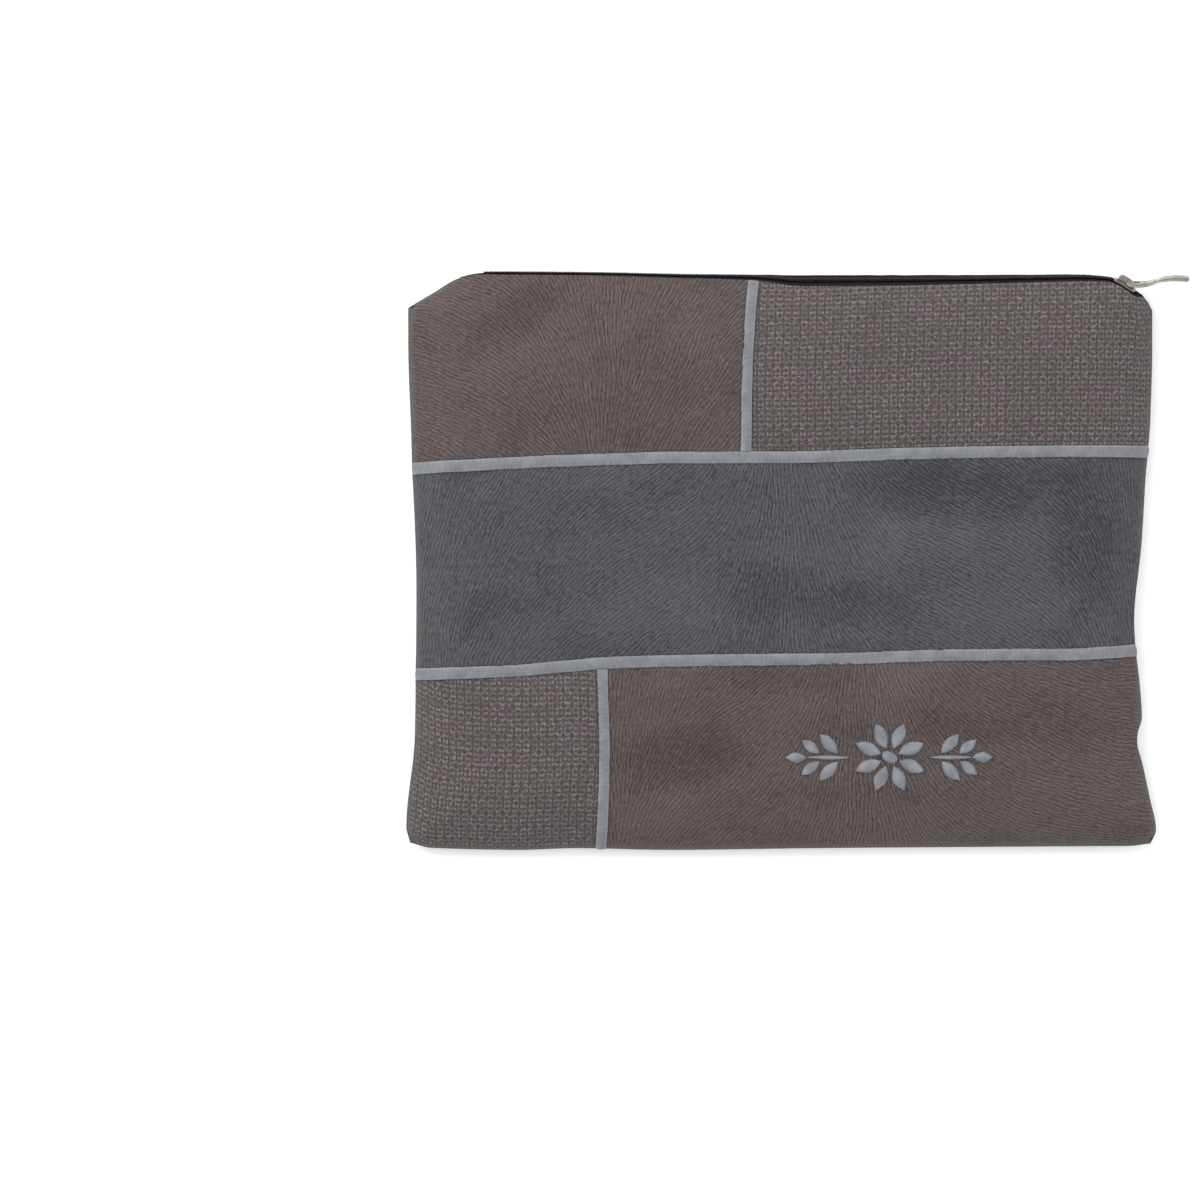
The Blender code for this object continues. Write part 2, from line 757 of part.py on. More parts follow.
def cross_ribbon(name, join, material):
    """A ribbon from side to side over a join between rows of panels."""
    margin = SEAM_GAP / BAG_WIDTH * 4
    places = [min(max(c, -1 + margin), 1 - margin) for c in FRONT_COLUMNS]
    rings = []
    for u in places:
        v = through(join, 1, u)

        def place(aside, height):
            return on_front(u, v + aside / (BAG_HEIGHT / 2), height)

        rings.append(ribbon_ring(place, CROSS_RIBBON_WIDTH))
    return add_object(name, tube_mesh(rings), material, 50)


def upright_ribbon(name, post, low, high, shares, material):
    """A ribbon up the join between two panels of one row."""
    rings = []
    for share in shares:
        v = low + (high - low) * share
        u = through(post, 1, v)

        def place(aside, height):
            return on_front(u + aside / (BAG_WIDTH / 2), v, height)

        rings.append(ribbon_ring(place, UPRIGHT_RIBBON_WIDTH))
    return add_object(name, tube_mesh(rings), material, 50)


def make_ribbons(material):
    """Four ribbons, each stopped short of what it butts against."""
    cross_ribbon("upper_ribbon", UPPER_JOIN, material)
    cross_ribbon("lower_ribbon", LOWER_JOIN, material)
    clear = (CROSS_RIBBON_WIDTH / 2 + SEAM_GAP + RIBBON_BUTT) / (BAG_HEIGHT / 2)
    margin = SEAM_GAP / BAG_HEIGHT * 4
    post = through(UPPER_UPRIGHT, 1, 0.5)
    start = through(UPPER_JOIN, 1, post) + clear
    upright_ribbon("upper_upright_ribbon", UPPER_UPRIGHT, start, 1 - margin, TOP_SHARES, material)
    post = through(LOWER_UPRIGHT, 1, -0.5)
    end = through(LOWER_JOIN, 1, post) - clear
    upright_ribbon("lower_upright_ribbon", LOWER_UPRIGHT, -1 + margin, end, BOTTOM_SHARES, material)


def band_edges(u):
    """Back edge and front edge of the zip band."""
    low = plan(u, 1)
    high = low - top_outward(u) * band_show(u)
    low.z = back_rim_height(u)
    high.z = front_rim_height(u)
    return low, high


def zip_frame(u):
    """Back edge, front edge and level outward direction of the zip band."""
    outward = top_outward(u)
    if SLIDER_START_SHARE < u < SLIDER_END_SHARE:
        part = (u - SLIDER_START_SHARE) / (SLIDER_END_SHARE - SLIDER_START_SHARE)
        low_a, high_a = band_edges(SLIDER_START_SHARE)
        low_b, high_b = band_edges(SLIDER_END_SHARE)
        return low_a.lerp(low_b, part), high_a.lerp(high_b, part), outward
    low, high = band_edges(u)
    return low, high, outward


def chain_end():
    """Where the chain stops, short of the slider's post."""
    span = SLIDER_END_SHARE - SLIDER_START_SHARE
    return SLIDER_END_SHARE - span * (SLIDER_POST_LENGTH + SLIDER_POST_CLEAR) / SLIDER_LENGTH


def zip_stations():
    """Places along the tapes."""
    start = [ZIP_START_SHARE + (CHAIN_START_SHARE - ZIP_START_SHARE) * k / 3 for k in range(4)]
    span = SLIDER_START_SHARE - CHAIN_START_SHARE
    middle = [CHAIN_START_SHARE + span * k / CHAIN_STATIONS for k in range(1, CHAIN_STATIONS)]
    end = [SLIDER_START_SHARE, chain_end(), SLIDER_END_SHARE, ZIP_END_SHARE]
    return start + middle + end


def tape(name, side, material):
    """One half of the zip tape: side 1 is sewn to the front, -1 to the back."""
    rings = []
    for u in zip_stations():
        low, high, outward = zip_frame(u)
        band = (high - low).length
        across = (high - low).normalized()
        centre = (low + high) / 2
        has_chain = CHAIN_START_SHARE <= u <= SLIDER_END_SHARE
        inner = CHAIN_WIDTH / 2 + SEAM_GAP if has_chain else SEAM_GAP / 2
        outer = max(band / 2 - SEAM_GAP, inner + TAPE_TIP)
        near = centre + across * side * inner
        far = centre + across * side * outer
        back = outward * -TAPE_THICKNESS
        rings.append([near, far, far + back, near + back])
    return add_object(name, tube_mesh(rings), material, 50)


def make_chain(material):
    """The closed chain of the zip, as one plain strip with its ends bevelled."""
    rings = []
    stations = [u for u in zip_stations() if CHAIN_START_SHARE <= u <= chain_end()]
    for u in stations:
        low, high, outward = zip_frame(u)
        across = (high - low).normalized()
        centre = (low + high) / 2
        half = CHAIN_WIDTH / 2
        top = outward * CHAIN_PROUD
        base = outward * (CHAIN_PROUD - CHAIN_THICKNESS)
        rings.append([
            centre - across * half * CHAIN_FLAT_SHARE + top,
            centre + across * half * CHAIN_FLAT_SHARE + top,
            centre + across * half + (top + base) / 2,
            centre + across * half * CHAIN_FLAT_SHARE + base,
            centre - across * half * CHAIN_FLAT_SHARE + base,
            centre - across * half + (top + base) / 2,
        ])
    return add_object("zip_chain", tube_mesh(rings), material, 50)


def slider_axes():
    """The slider's own frame: along, across and out of the chain."""
    low_a, high_a = band_edges(SLIDER_START_SHARE)
    low_b, high_b = band_edges(SLIDER_END_SHARE)
    start = (low_a + high_a) / 2
    end = (low_b + high_b) / 2
    along = (end - start).normalized()
    across = ((high_a - low_a) + (high_b - low_b)).normalized()
    across = (across - along * across.dot(along)).normalized()
    out = across.cross(along).normalized()
    if out.y < 0:
        out = -out
    middle = (start + end) / 2 + out * (CHAIN_PROUD - CHAIN_THICKNESS / 2)
    turn = Matrix((along, out, across)).transposed().to_4x4()
    turn.translation = middle
    return turn


def prism_mesh(outline, low, high, place):
    """An outline made thick. place(a, b, c) turns outline and level to a point."""
    data = bmesh.new()
    ends = []
    for level in (low, high):
        ends.append([data.verts.new(place(a, b, level)) for a, b in outline])
    count = len(outline)
    for k in range(count):
        m = (k + 1) % count
        data.faces.new((ends[0][k], ends[0][m], ends[1][m], ends[1][k]))
    data.faces.new(ends[0])
    data.faces.new(ends[1])
    face_out(data)
    return data


def boolean(target, tool, operation):
    """Join or cut with another object, which is then kept as a guide."""
    change = target.modifiers.new(operation.title(), "BOOLEAN")
    change.operation = operation
    change.solver = "EXACT"
    change.object = tool
    tool.hide_render = True
    tool.display_type = "WIRE"
    return change


def slider_gap():
    """Free height between the slider's plates."""
    return CHAIN_THICKNESS + 2 * SLIDER_SLACK


def make_slider(material):
    """Two plates, the post between them and the bridge, in one body."""
    turn = slider_axes()
    half = SLIDER_LENGTH / 2
    outline = [(a * half, b * SLIDER_WIDTH / 2) for a, b in PLATE_OUTLINE]
    gap = slider_gap() / 2

    def flat(a, b, level):
        return (a, level, b)

    def upright(a, b, level):
        return (a, b, level)

    body = add_object("zip_slider", prism_mesh(outline, gap, gap + SLIDER_PLATE, flat), material, 40)
    body.matrix_world = turn

    sink = SLIDER_PLATE * SLIDER_SINK_SHARE
    post_start = half - SLIDER_POST_LENGTH
    post = [
        (post_start, 0),
        (post_start + SLIDER_POST_WIDTH * SLIDER_NOSE_SHARE, -SLIDER_POST_WIDTH / 2),
        (half - SLIDER_POST_SETBACK, -SLIDER_POST_WIDTH / 2),
        (half - SLIDER_POST_SETBACK, SLIDER_POST_WIDTH / 2),
        (post_start + SLIDER_POST_WIDTH * SLIDER_NOSE_SHARE, SLIDER_POST_WIDTH / 2),
    ]
    arch_foot = gap + SLIDER_PLATE
    outer = [(a * BRIDGE_LENGTH / 2, arch_foot + b * BRIDGE_HEIGHT) for a, b in BRIDGE_ARCH]
    inner_half = BRIDGE_LENGTH / 2 - BRIDGE_BAR
    inner_height = BRIDGE_HEIGHT - BRIDGE_BAR
    inner = [(a * inner_half, arch_foot + b * inner_height) for a, b in BRIDGE_ARCH]
    outer = [(outer[0][0], arch_foot - sink)] + outer + [(outer[-1][0], arch_foot - sink)]
    inner = [(inner[0][0], arch_foot - sink)] + inner + [(inner[-1][0], arch_foot - sink)]
    pieces = [
        prism_mesh(outline, -gap - SLIDER_PLATE, -gap, flat),
        prism_mesh(post, -gap - sink, gap + sink, flat),
        prism_mesh(outer + inner[::-1], -BRIDGE_WIDTH / 2, BRIDGE_WIDTH / 2, upright),
    ]
    for number, piece in enumerate(pieces):
        guide = add_object(f"slider_guide_{number}", piece, material)
        guide.matrix_world = turn
        boolean(body, guide, "UNION")
    return body


def hinge_frame():
    """The pull's hinge: inside the end of the bridge's window."""
    window_end = BRIDGE_LENGTH / 2 - BRIDGE_BAR
    along = window_end - EYE_BAR - PULL_SLACK
    out = slider_gap() / 2 + SLIDER_PLATE + EYE_BAR / 2 + SLIDER_SLACK
    return slider_axes() @ Matrix.Translation((along, out, 0))


def make_pull(material):
    """The wavy pull. Its origin lies on its hinge's axis."""
    rings = []
    length = PULL_LENGTH + EYE_BAR / 2
    for along, width, thick, wave in PULL_STATIONS:
        x = along * length - EYE_BAR / 2
        half_width = width * PULL_WIDTH / 2
        half_thick = thick * PULL_THICKNESS / 2
        middle = wave * PULL_WAVE
        corner = min(half_thick * PULL_EDGE_SHARE, half_width * PULL_EDGE_MOST_SHARE)
        rings.append([
            (x, middle - half_thick, -half_width + corner),
            (x, middle - half_thick, half_width - corner),
            (x, middle - half_thick + corner, half_width),
            (x, middle + half_thick - corner, half_width),
            (x, middle + half_thick, half_width - corner),
            (x, middle + half_thick, -half_width + corner),
            (x, middle + half_thick - corner, -half_width),
            (x, middle - half_thick + corner, -half_width),
        ])
    pull = add_object("zip_pull", tube_mesh(rings), material, 40)
    turn = hinge_frame() @ Matrix.Rotation(math.radians(PULL_REST_DEG), 4, "Z")
    pull.matrix_world = turn

    half = BRIDGE_WIDTH / 2 + PULL_SLACK
    start = EYE_BAR / 2
    end = EYE_LENGTH
    corner = half * EYE_CORNER_SHARE
    eye = [
        (start, -half),
        (end - corner, -half),
        (end, -half + corner),
        (end, half - corner),
        (end - corner, half),
        (start, half),
    ]
    reach = PULL_THICKNESS + PULL_WAVE

    def flat(a, b, level):
        return (a, level, b)

    guide = add_object("pull_guide", prism_mesh(eye, -reach, reach, flat), material)
    guide.matrix_world = turn
    boolean(pull, guide, "DIFFERENCE")
    return pull


def motif_place(x, y, height):
    """A point of the ornament, measured from its middle, over the cloth."""
    u = MOTIF_MIDDLE[0] + x / (BAG_WIDTH / 2)
    v = MOTIF_MIDDLE[1] + y / (BAG_HEIGHT / 2)
    return on_front(u, v, height)


def stitched_field(name, outline, material):
    """A padded satin stitch field inside an outline on the cloth."""
    cx = sum(x for x, y in outline) / len(outline)
    cy = sum(y for x, y in outline) / len(outline)
    rings = []
    for scale, height in PADDING_STEPS:
        level = MOTIF_GAP + height * MOTIF_RELIEF
        ring = []
        for x, y in outline:
            ring.append(motif_place(cx + (x - cx) * scale, cy + (y - cy) * scale, level))
        rings.append(ring)
    return add_object(name, tube_mesh(rings), material, 50)


def lens(cx, cy, turn, length, width):
    """Outline of a pointed leaf."""
    angle = math.radians(turn)
    side = [(s * length / 2, (1 - s * s) * width / 2) for s in LEAF_STATIONS]
    points = side + [(-x, -y) for x, y in side]
    turned = []
    for x, y in points:
        along = cx + x * math.cos(angle) - y * math.sin(angle)
        up = cy + x * math.sin(angle) + y * math.cos(angle)
        turned.append((along, up))
    return turned


def make_motif(material):
    """A rosette between two leafy sprays."""
    half_width = MOTIF_WIDTH / 2
    half_height = MOTIF_HEIGHT / 2
    radius = BUTTON_RADIUS_SHARE * half_height
    turns = [2 * math.pi * k / BUTTON_SIDES for k in range(BUTTON_SIDES)]
    button = [(radius * math.cos(t), radius * math.sin(t)) for t in turns]
    stitched_field("motif_button", button, material)
    for k in range(PETALS):
        turn = 360 * (k + 0.5) / PETALS
        reach = (PETAL_START_SHARE + PETAL_END_SHARE) / 2 * half_height
        cx = reach * math.cos(math.radians(turn))
        cy = reach * math.sin(math.radians(turn))
        length = (PETAL_END_SHARE - PETAL_START_SHARE) * half_height
        outline = lens(cx, cy, turn, length, PETAL_WIDTH_SHARE * half_height)
        stitched_field(f"motif_petal_{k + 1}", outline, material)
    for side, hand in ((1, "right"), (-1, "left")):
        for k, (across, up, turn, length, width) in enumerate(LEAVES):
            facing = turn if side > 0 else 180 - turn
            outline = lens(
                side * across * half_width, up * half_height, facing,
                length * half_width, width * half_height,
            )
            stitched_field(f"motif_{hand}_leaf_{k + 1}", outline, material)
        middle = side * (STEM_START_SHARE + STEM_END_SHARE) / 2 * half_width
        length = (STEM_END_SHARE - STEM_START_SHARE) * half_width
        outline = lens(middle, 0.0, 0, length, STEM_WIDTH_SHARE * half_height)
        stitched_field(f"motif_{hand}_stem", outline, material)


def main():
    clear_scene()
    finishes = {
        "suede": finish("brown_embossed_suede", (0.119, 0.094, 0.091), 0.9),
        "weave": finish("taupe_woven_cloth", (0.135, 0.115, 0.115), 0.9),
        "band": finish("slate_embossed_suede", (0.094, 0.091, 0.102), 0.9),
        "back": finish("olive_back_cloth", (0.06, 0.055, 0.045), 0.95),
        "ribbon": finish("silver_grey_ribbon", (0.23, 0.24, 0.268), 0.6),
        "zip": finish("aubergine_zip_tape", (0.014, 0.009, 0.014), 0.8),
        "nickel": finish("nickel", (0.62, 0.61, 0.57), 0.3, 1.0),
        "thread": finish("silver_grey_thread", (0.27, 0.28, 0.31), 0.5),
    }
    make_front(finishes)
    make_back(finishes["back"])
    make_ribbons(finishes["ribbon"])
    tape("zip_tape_front", 1, finishes["zip"])
    tape("zip_tape_back", -1, finishes["zip"])
    make_chain(finishes["zip"])
    make_slider(finishes["nickel"])
    make_pull(finishes["nickel"])
    make_motif(finishes["thread"])
    bpy.context.view_layer.update()


main()
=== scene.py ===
# %% [markdown]
# # Dressing a zipped cloth pouch
#
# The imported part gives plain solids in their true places. This file puts real
# cloth, thread and metal over them, piece by piece, and leaves every size as
# it is. The pouch lies on its back: the front looks up along +Z, the zip runs
# along the +Y side, and lengths are in metres.

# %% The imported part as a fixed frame
import math

import bmesh
import bpy
import numpy as np
from mathutils import Matrix, Vector


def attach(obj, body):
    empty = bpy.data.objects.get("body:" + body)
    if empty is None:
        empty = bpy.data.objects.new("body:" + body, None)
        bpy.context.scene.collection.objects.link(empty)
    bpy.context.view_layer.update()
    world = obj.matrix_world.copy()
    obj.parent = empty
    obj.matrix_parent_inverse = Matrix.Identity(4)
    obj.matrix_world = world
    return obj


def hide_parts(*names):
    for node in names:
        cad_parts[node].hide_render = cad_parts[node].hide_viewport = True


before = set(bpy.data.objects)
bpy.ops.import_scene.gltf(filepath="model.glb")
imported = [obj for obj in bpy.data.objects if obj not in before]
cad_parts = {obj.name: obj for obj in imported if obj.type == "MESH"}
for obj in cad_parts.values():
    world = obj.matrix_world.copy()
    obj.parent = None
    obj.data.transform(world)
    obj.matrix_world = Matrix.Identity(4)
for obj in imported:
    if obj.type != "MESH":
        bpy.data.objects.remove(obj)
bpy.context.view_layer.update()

MM = 0.001

# %% [markdown]
# ## Camera
#
# The picture looks straight down on the pouch, which fills the right of the
# frame. A long lens from far away keeps the sides parallel, as in the picture.
# The scale is 2.069 picture dots to a millimetre, on a frame of 1200 by 1200.

# %% A camera straight above
DOTS_PER_MM = 2.069
FRAME_SIDE = 1200 / DOTS_PER_MM * MM
VIEW_MIDDLE = Vector((-87.2, -18.6, 10)) * MM
LENS_MM = 200
SENSOR_MM = 36

camera_data = bpy.data.cameras.new("camera_above")
camera_data.lens = LENS_MM
camera_data.sensor_width = SENSOR_MM
camera = bpy.data.objects.new("camera_above", camera_data)
camera.location = VIEW_MIDDLE + Vector((0, 0, FRAME_SIDE * LENS_MM / SENSOR_MM))
bpy.context.scene.collection.objects.link(camera)
bpy.context.scene.camera = camera
print("camera height, m:", round(camera.location.z, 3))

# %% [markdown]
# ## Light and floor
#
# The picture was taken in a light tent: a white ground, almost no shadow and a
# little more light from the upper left. A white world with one large soft
# light does that. The floor is a plain matt sheet, which takes the soft shadow
# that shows where the pouch touches it.

# %% A soft light tent
bpy.context.scene.view_settings.view_transform = "Standard"
world = bpy.data.worlds.new("light_tent")
world.use_nodes = True
world.node_tree.nodes["Background"].inputs["Color"].default_value = (0.97, 0.985, 1.0, 1)
world.node_tree.nodes["Background"].inputs["Strength"].default_value = 0.88
bpy.context.scene.world = world


def soft_light(name, place, side, power):
    """A square area light that looks at the pouch."""
    data = bpy.data.lights.new(name, "AREA")
    data.shape = "SQUARE"
    data.size = side
    data.energy = power
    lamp = bpy.data.objects.new(name, data)
    lamp.location = place
    lamp.rotation_mode = "QUATERNION"
    lamp.rotation_quaternion = (-Vector(place)).to_track_quat("-Z", "Y")
    bpy.context.scene.collection.objects.link(lamp)
    return lamp


soft_light("upper_left_light", (-0.9, 0.9, 1.1), 0.9, 17)
soft_light("right_light", (1.3, 0.1, 0.9), 0.9, 5)

# %% [markdown]
# ## Shader maths as plain expressions
#
# A finish is a network of small nodes. Written node by node it is long and
# hard to read, so one small class wraps a socket: adding or multiplying two of
# them adds the Math node that does it. Every other node comes from `node`,
# which takes its kind, its settings and what goes into its sockets.


# %% A value in a finish, with operators
class Amount:
    """One number that changes over a surface."""

    def __init__(self, finish, socket):
        self.finish = finish
        self.socket = socket

    def math(self, operation, *others, clamp=False):
        values = {place: value for place, value in enumerate((self, *others))}
        settings = {"operation": operation, "use_clamp": clamp}
        return self.finish.node("ShaderNodeMath", settings, values)

    def __add__(self, other):
        return self.math("ADD", other)

    def __radd__(self, other):
        return self.math("ADD", other)

    def __sub__(self, other):
        return self.math("SUBTRACT", other)

    def __rsub__(self, other):
        return self.finish.amount(other).math("SUBTRACT", self)

    def __mul__(self, other):
        return self.math("MULTIPLY", other)

    def __rmul__(self, other):
        return self.math("MULTIPLY", other)

    def __truediv__(self, other):
        return self.math("DIVIDE", other)

    def __pow__(self, other):
        return self.math("POWER", other)

    def sine(self):
        return self.math("SINE")

    def size(self):
        return self.math("ABSOLUTE")

    def whole(self):
        return self.math("FLOOR")

    def part(self):
        return self.math("FRACT")

    def most(self, other):
        return self.math("MAXIMUM", other)

    def least(self, other):
        return self.math("MINIMUM", other)

    def rise(self, start, end, low=0.0, high=1.0):
        """low up to start, high from end on, and smooth between them."""
        settings = {"interpolation_type": "SMOOTHSTEP"}
        values = {0: self, 1: start, 2: end, 3: low, 4: high}
        return self.finish.node("ShaderNodeMapRange", settings, values)


# %% A finish that builds its own nodes
class Finish:
    """A Principled material. What is the same all over is set on its sockets."""

    def __init__(self, name, roughness=0.8, metallic=0.0, **same_all_over):
        self.material = bpy.data.materials.new(name)
        self.material.use_nodes = True
        self.tree = self.material.node_tree
        self.shader = self.tree.nodes["Principled BSDF"]
        self.shader.inputs["Roughness"].default_value = roughness
        self.shader.inputs["Metallic"].default_value = metallic
        for socket, value in same_all_over.items():
            name = socket.replace("_", " ").title().replace("Ior", "IOR")
            self.shader.inputs[name].default_value = value

    def fill(self, socket, value):
        if isinstance(value, Amount):
            value = value.socket
        if isinstance(value, bpy.types.NodeSocket):
            self.tree.links.new(value, socket)
        elif value is not None:
            socket.default_value = value

    def node(self, kind, settings, values, output=0):
        """Any node: its settings first, then what goes into its sockets."""
        made = self.tree.nodes.new(kind)
        for name, value in settings.items():
            if name == "stops":
                self.set_stops(made.color_ramp.elements, value)
            else:
                setattr(made, name, value)
        for place, value in values.items():
            self.fill(made.inputs[place], value)
        return Amount(self, made.outputs[output])

    def set_stops(self, elements, stops):
        while len(elements) < len(stops):
            elements.new(0.5)
        for element, (place, grey) in zip(elements, stops):
            element.position = place
            element.color = (grey, grey, grey, 1.0)

    def ramp(self, value, stops):
        """A number read from a short table of places and values, 0 to 1."""
        return self.node("ShaderNodeValToRGB", {"stops": stops}, {0: value})

    def amount(self, number):
        made = self.tree.nodes.new("ShaderNodeValue")
        made.outputs[0].default_value = number
        return Amount(self, made.outputs[0])

    def place_on(self, uv):
        """Across and up a piece, in millimetres, from its UV map."""
        spot = self.node("ShaderNodeUVMap", {"uv_map": uv}, {})
        split = self.tree.nodes.new("ShaderNodeSeparateXYZ")
        self.tree.links.new(spot.socket, split.inputs[0])
        return spot, Amount(self, split.outputs[0]), Amount(self, split.outputs[1])

    def place_in_space(self):
        """Object coordinates, with their three parts."""
        spot = self.node("ShaderNodeTexCoord", {}, {}, "Object")
        split = self.tree.nodes.new("ShaderNodeSeparateXYZ")
        self.tree.links.new(spot.socket, split.inputs[0])
        return spot, *[Amount(self, output) for output in split.outputs]

    def joined(self, x, y, z=0.0):
        return self.node("ShaderNodeCombineXYZ", {}, {0: x, 1: y, 2: z})

    def noise(self, where, scale, detail=2.0, roughness=0.5, distortion=0.0):
        values = {
            "Vector": where, "Scale": scale, "Detail": detail,
            "Roughness": roughness, "Distortion": distortion,
        }
        return self.node("ShaderNodeTexNoise", {}, values, "Fac")

    def mix(self, share, first, second, blend="MIX"):
        """Two colours mixed by a share."""
        made = self.tree.nodes.new("ShaderNodeMix")
        made.data_type = "RGBA"
        made.blend_type = blend
        self.fill(made.inputs[0], share)
        for socket, color in ((made.inputs[6], first), (made.inputs[7], second)):
            self.fill(socket, (*color, 1.0) if isinstance(color, tuple) else color)
        return Amount(self, made.outputs[2])

    def relief(self, height, depth, before=None):
        """A bump of a depth in metres, on top of an earlier one."""
        values = {"Strength": 1.0, "Distance": depth, "Height": height, "Normal": before}
        return self.node("ShaderNodeBump", {}, values)

    def use(self, color=None, roughness=None, normal=None, metallic=None):
        for name, value in (
            ("Base Color", color), ("Roughness", roughness),
            ("Normal", normal), ("Metallic", metallic),
        ):
            if value is not None:
                self.fill(self.shader.inputs[name], value)
        return self.material


# %% The floor
floor_mesh = bpy.data.meshes.new("floor")
FLOOR_SIDE = 6.0
corners = [(x * FLOOR_SIDE / 2, y * FLOOR_SIDE / 2, 0) for x, y in ((-1, -1), (1, -1), (1, 1), (-1, 1))]
floor_mesh.from_pydata(corners, [], [(0, 1, 2, 3)])
floor = bpy.data.objects.new("floor", floor_mesh)
bpy.context.scene.collection.objects.link(floor)
paper = Finish(
    "white_paper", 0.9, specular_ior_level=0.2, emission_color=(1, 1, 1, 1), emission_strength=0.22
)
spot, *_ = paper.place_in_space()
grain = paper.noise(spot, 900.0, 3.0)
floor_mesh.materials.append(
    paper.use(
        color=paper.mix(grain, (0.93, 0.93, 0.93), (0.96, 0.96, 0.96)),
        normal=paper.relief(grain, 0.00004),
    )
)
print("floor side, m:", FLOOR_SIDE)

# %% [markdown]
# ## The shape of the filled pouch
#
# A stuffed flat bag has no simple outline: each side wanders in and out, the
# cloth rises from the side seam in a soft roll, and shallow dents run over the
# front. The form is described by a few tables, read smoothly between rows,
# across (u) and up (v) the bag from -1 to 1. The same tables made the packed
# solids, so cloth made from them lies where the solids are.

# %% Sizes of the filled pouch
BAG_WIDTH = 360 * MM
BAG_HEIGHT = 279 * MM
CENTRE_THICKNESS = 25 * MM
FIELD_THICKNESS = 18 * MM
SEAM_HEIGHT = 7 * MM
SIDE_ROLL = 30 * MM
BOTTOM_ROLL = 24 * MM
TOP_ROLL = 26 * MM
BACK_ROLL = 19 * MM
ZIP_BAND = 11 * MM
ZIP_DROP = 3 * MM
SLIDER_START = 0.892
SLIDER_END = 0.962

# Sides from bottom to top: place up the side, reach of the front edge, how
# far the back cloth bulges past it, how far the seam is pulled up
RIGHT_EDGE = [
    (-1.00, 0.995, 0.000, 0.00), (-0.95, 1.010, 0.000, 0.00), (-0.83, 0.993, 0.000, 0.00),
    (-0.70, 0.972, 0.004, 0.05), (-0.62, 0.956, 0.017, 0.35), (-0.54, 0.972, 0.000, 0.00),
    (-0.42, 0.966, 0.000, 0.00), (-0.33, 0.957, 0.009, 0.20), (-0.20, 0.947, 0.019, 0.40),
    (-0.05, 0.961, 0.008, 0.20), (0.06, 0.971, 0.000, 0.00), (0.29, 0.982, 0.000, 0.00),
    (0.50, 0.995, 0.000, 0.00), (0.83, 1.000, 0.000, 0.00), (1.00, 1.000, 0.000, 0.00),
]
LEFT_EDGE = [
    (-1.00, 0.995, 0.000, 0.00), (-0.94, 1.005, 0.000, 0.00), (-0.60, 0.982, 0.000, 0.00),
    (-0.10, 0.978, 0.000, 0.00), (0.40, 0.991, 0.000, 0.00), (0.83, 1.000, 0.000, 0.00),
    (1.00, 1.000, 0.000, 0.00),
]
# Top from left to right: place, reach of the back edge, share of the zip band
# that is there, how far the band shows past the front edge
TOP_EDGE = [
    (-1.000, 0.880, 0.00, 0.0000), (-0.930, 0.934, 0.02, 0.0000), (-0.862, 0.985, 0.16, 0.0020),
    (-0.800, 1.002, 0.66, 0.0080), (-0.740, 1.005, 1.00, 0.0130), (-0.500, 1.003, 1.00, 0.0140),
    (-0.250, 0.998, 1.00, 0.0180), (-0.080, 0.997, 1.00, 0.0240), (0.060, 0.996, 1.00, 0.0430),
    (0.350, 0.996, 1.00, 0.0400), (0.600, 0.997, 1.00, 0.0340), (0.800, 0.998, 1.00, 0.0280),
    (0.892, 0.988, 1.00, 0.0250), (0.962, 0.938, 0.98, 0.0250), (0.975, 0.924, 0.30, 0.0080),
    (0.987, 0.902, 0.04, 0.0000), (1.000, 0.870, 0.00, 0.0000),
]
BOTTOM_EDGE = [
    (-1.00, 0.975), (-0.94, 0.993), (-0.70, 1.000), (-0.55, 0.994), (-0.30, 1.000),
    (0.10, 0.994), (0.50, 0.990), (0.85, 0.987), (0.94, 0.986), (1.00, 0.978),
]
# Sewn joins: place along the join, then its height or its reach
UPPER_JOIN = [
    (-1.00, 0.322), (-0.60, 0.346), (-0.25, 0.358), (0.00, 0.3585),
    (0.30, 0.370), (0.70, 0.3795), (1.00, 0.381),
]
LOWER_JOIN = [
    (-1.00, -0.392), (-0.73, -0.378), (-0.41, -0.3465), (-0.10, -0.340),
    (0.15, -0.336), (0.45, -0.324), (0.80, -0.321), (1.00, -0.308),
]
UPPER_UPRIGHT = [(0.38, -0.094), (0.65, -0.091), (0.82, -0.0845), (1.00, -0.072)]
LOWER_UPRIGHT = [(-1.00, -0.483), (-0.90, -0.477), (-0.70, -0.474), (-0.50, -0.477), (-0.34, -0.482)]
# Dents and folds: middle across and up, turn in degrees, half length, half
# width, height as a share of the centre thickness
FOLDS = [
    (-0.72, 0.82, 38, 0.130, 0.070, -0.090), (-0.60, 0.66, 20, 0.220, 0.080, 0.050),
    (0.43, 0.25, -5, 0.260, 0.075, -0.085), (0.82, 0.12, 80, 0.220, 0.080, -0.080),
    (0.07, -0.14, -10, 0.230, 0.080, -0.080), (-0.45, 0.02, 14, 0.300, 0.090, 0.050),
    (0.40, 0.02, 12, 0.260, 0.085, 0.055), (-0.28, -0.69, 8, 0.160, 0.080, -0.110),
    (0.00, -0.41, 0, 0.200, 0.070, -0.050), (0.33, -0.45, 25, 0.140, 0.070, 0.060),
    (0.66, -0.56, -8, 0.170, 0.070, -0.060), (-0.32, -0.88, 4, 0.170, 0.070, 0.080),
    (0.93, -0.55, 70, 0.080, 0.060, -0.160), (0.55, -0.86, 6, 0.260, 0.075, 0.045),
    (0.35, 0.68, -18, 0.300, 0.090, -0.040), (0.70, 0.78, 20, 0.180, 0.080, 0.035),
]


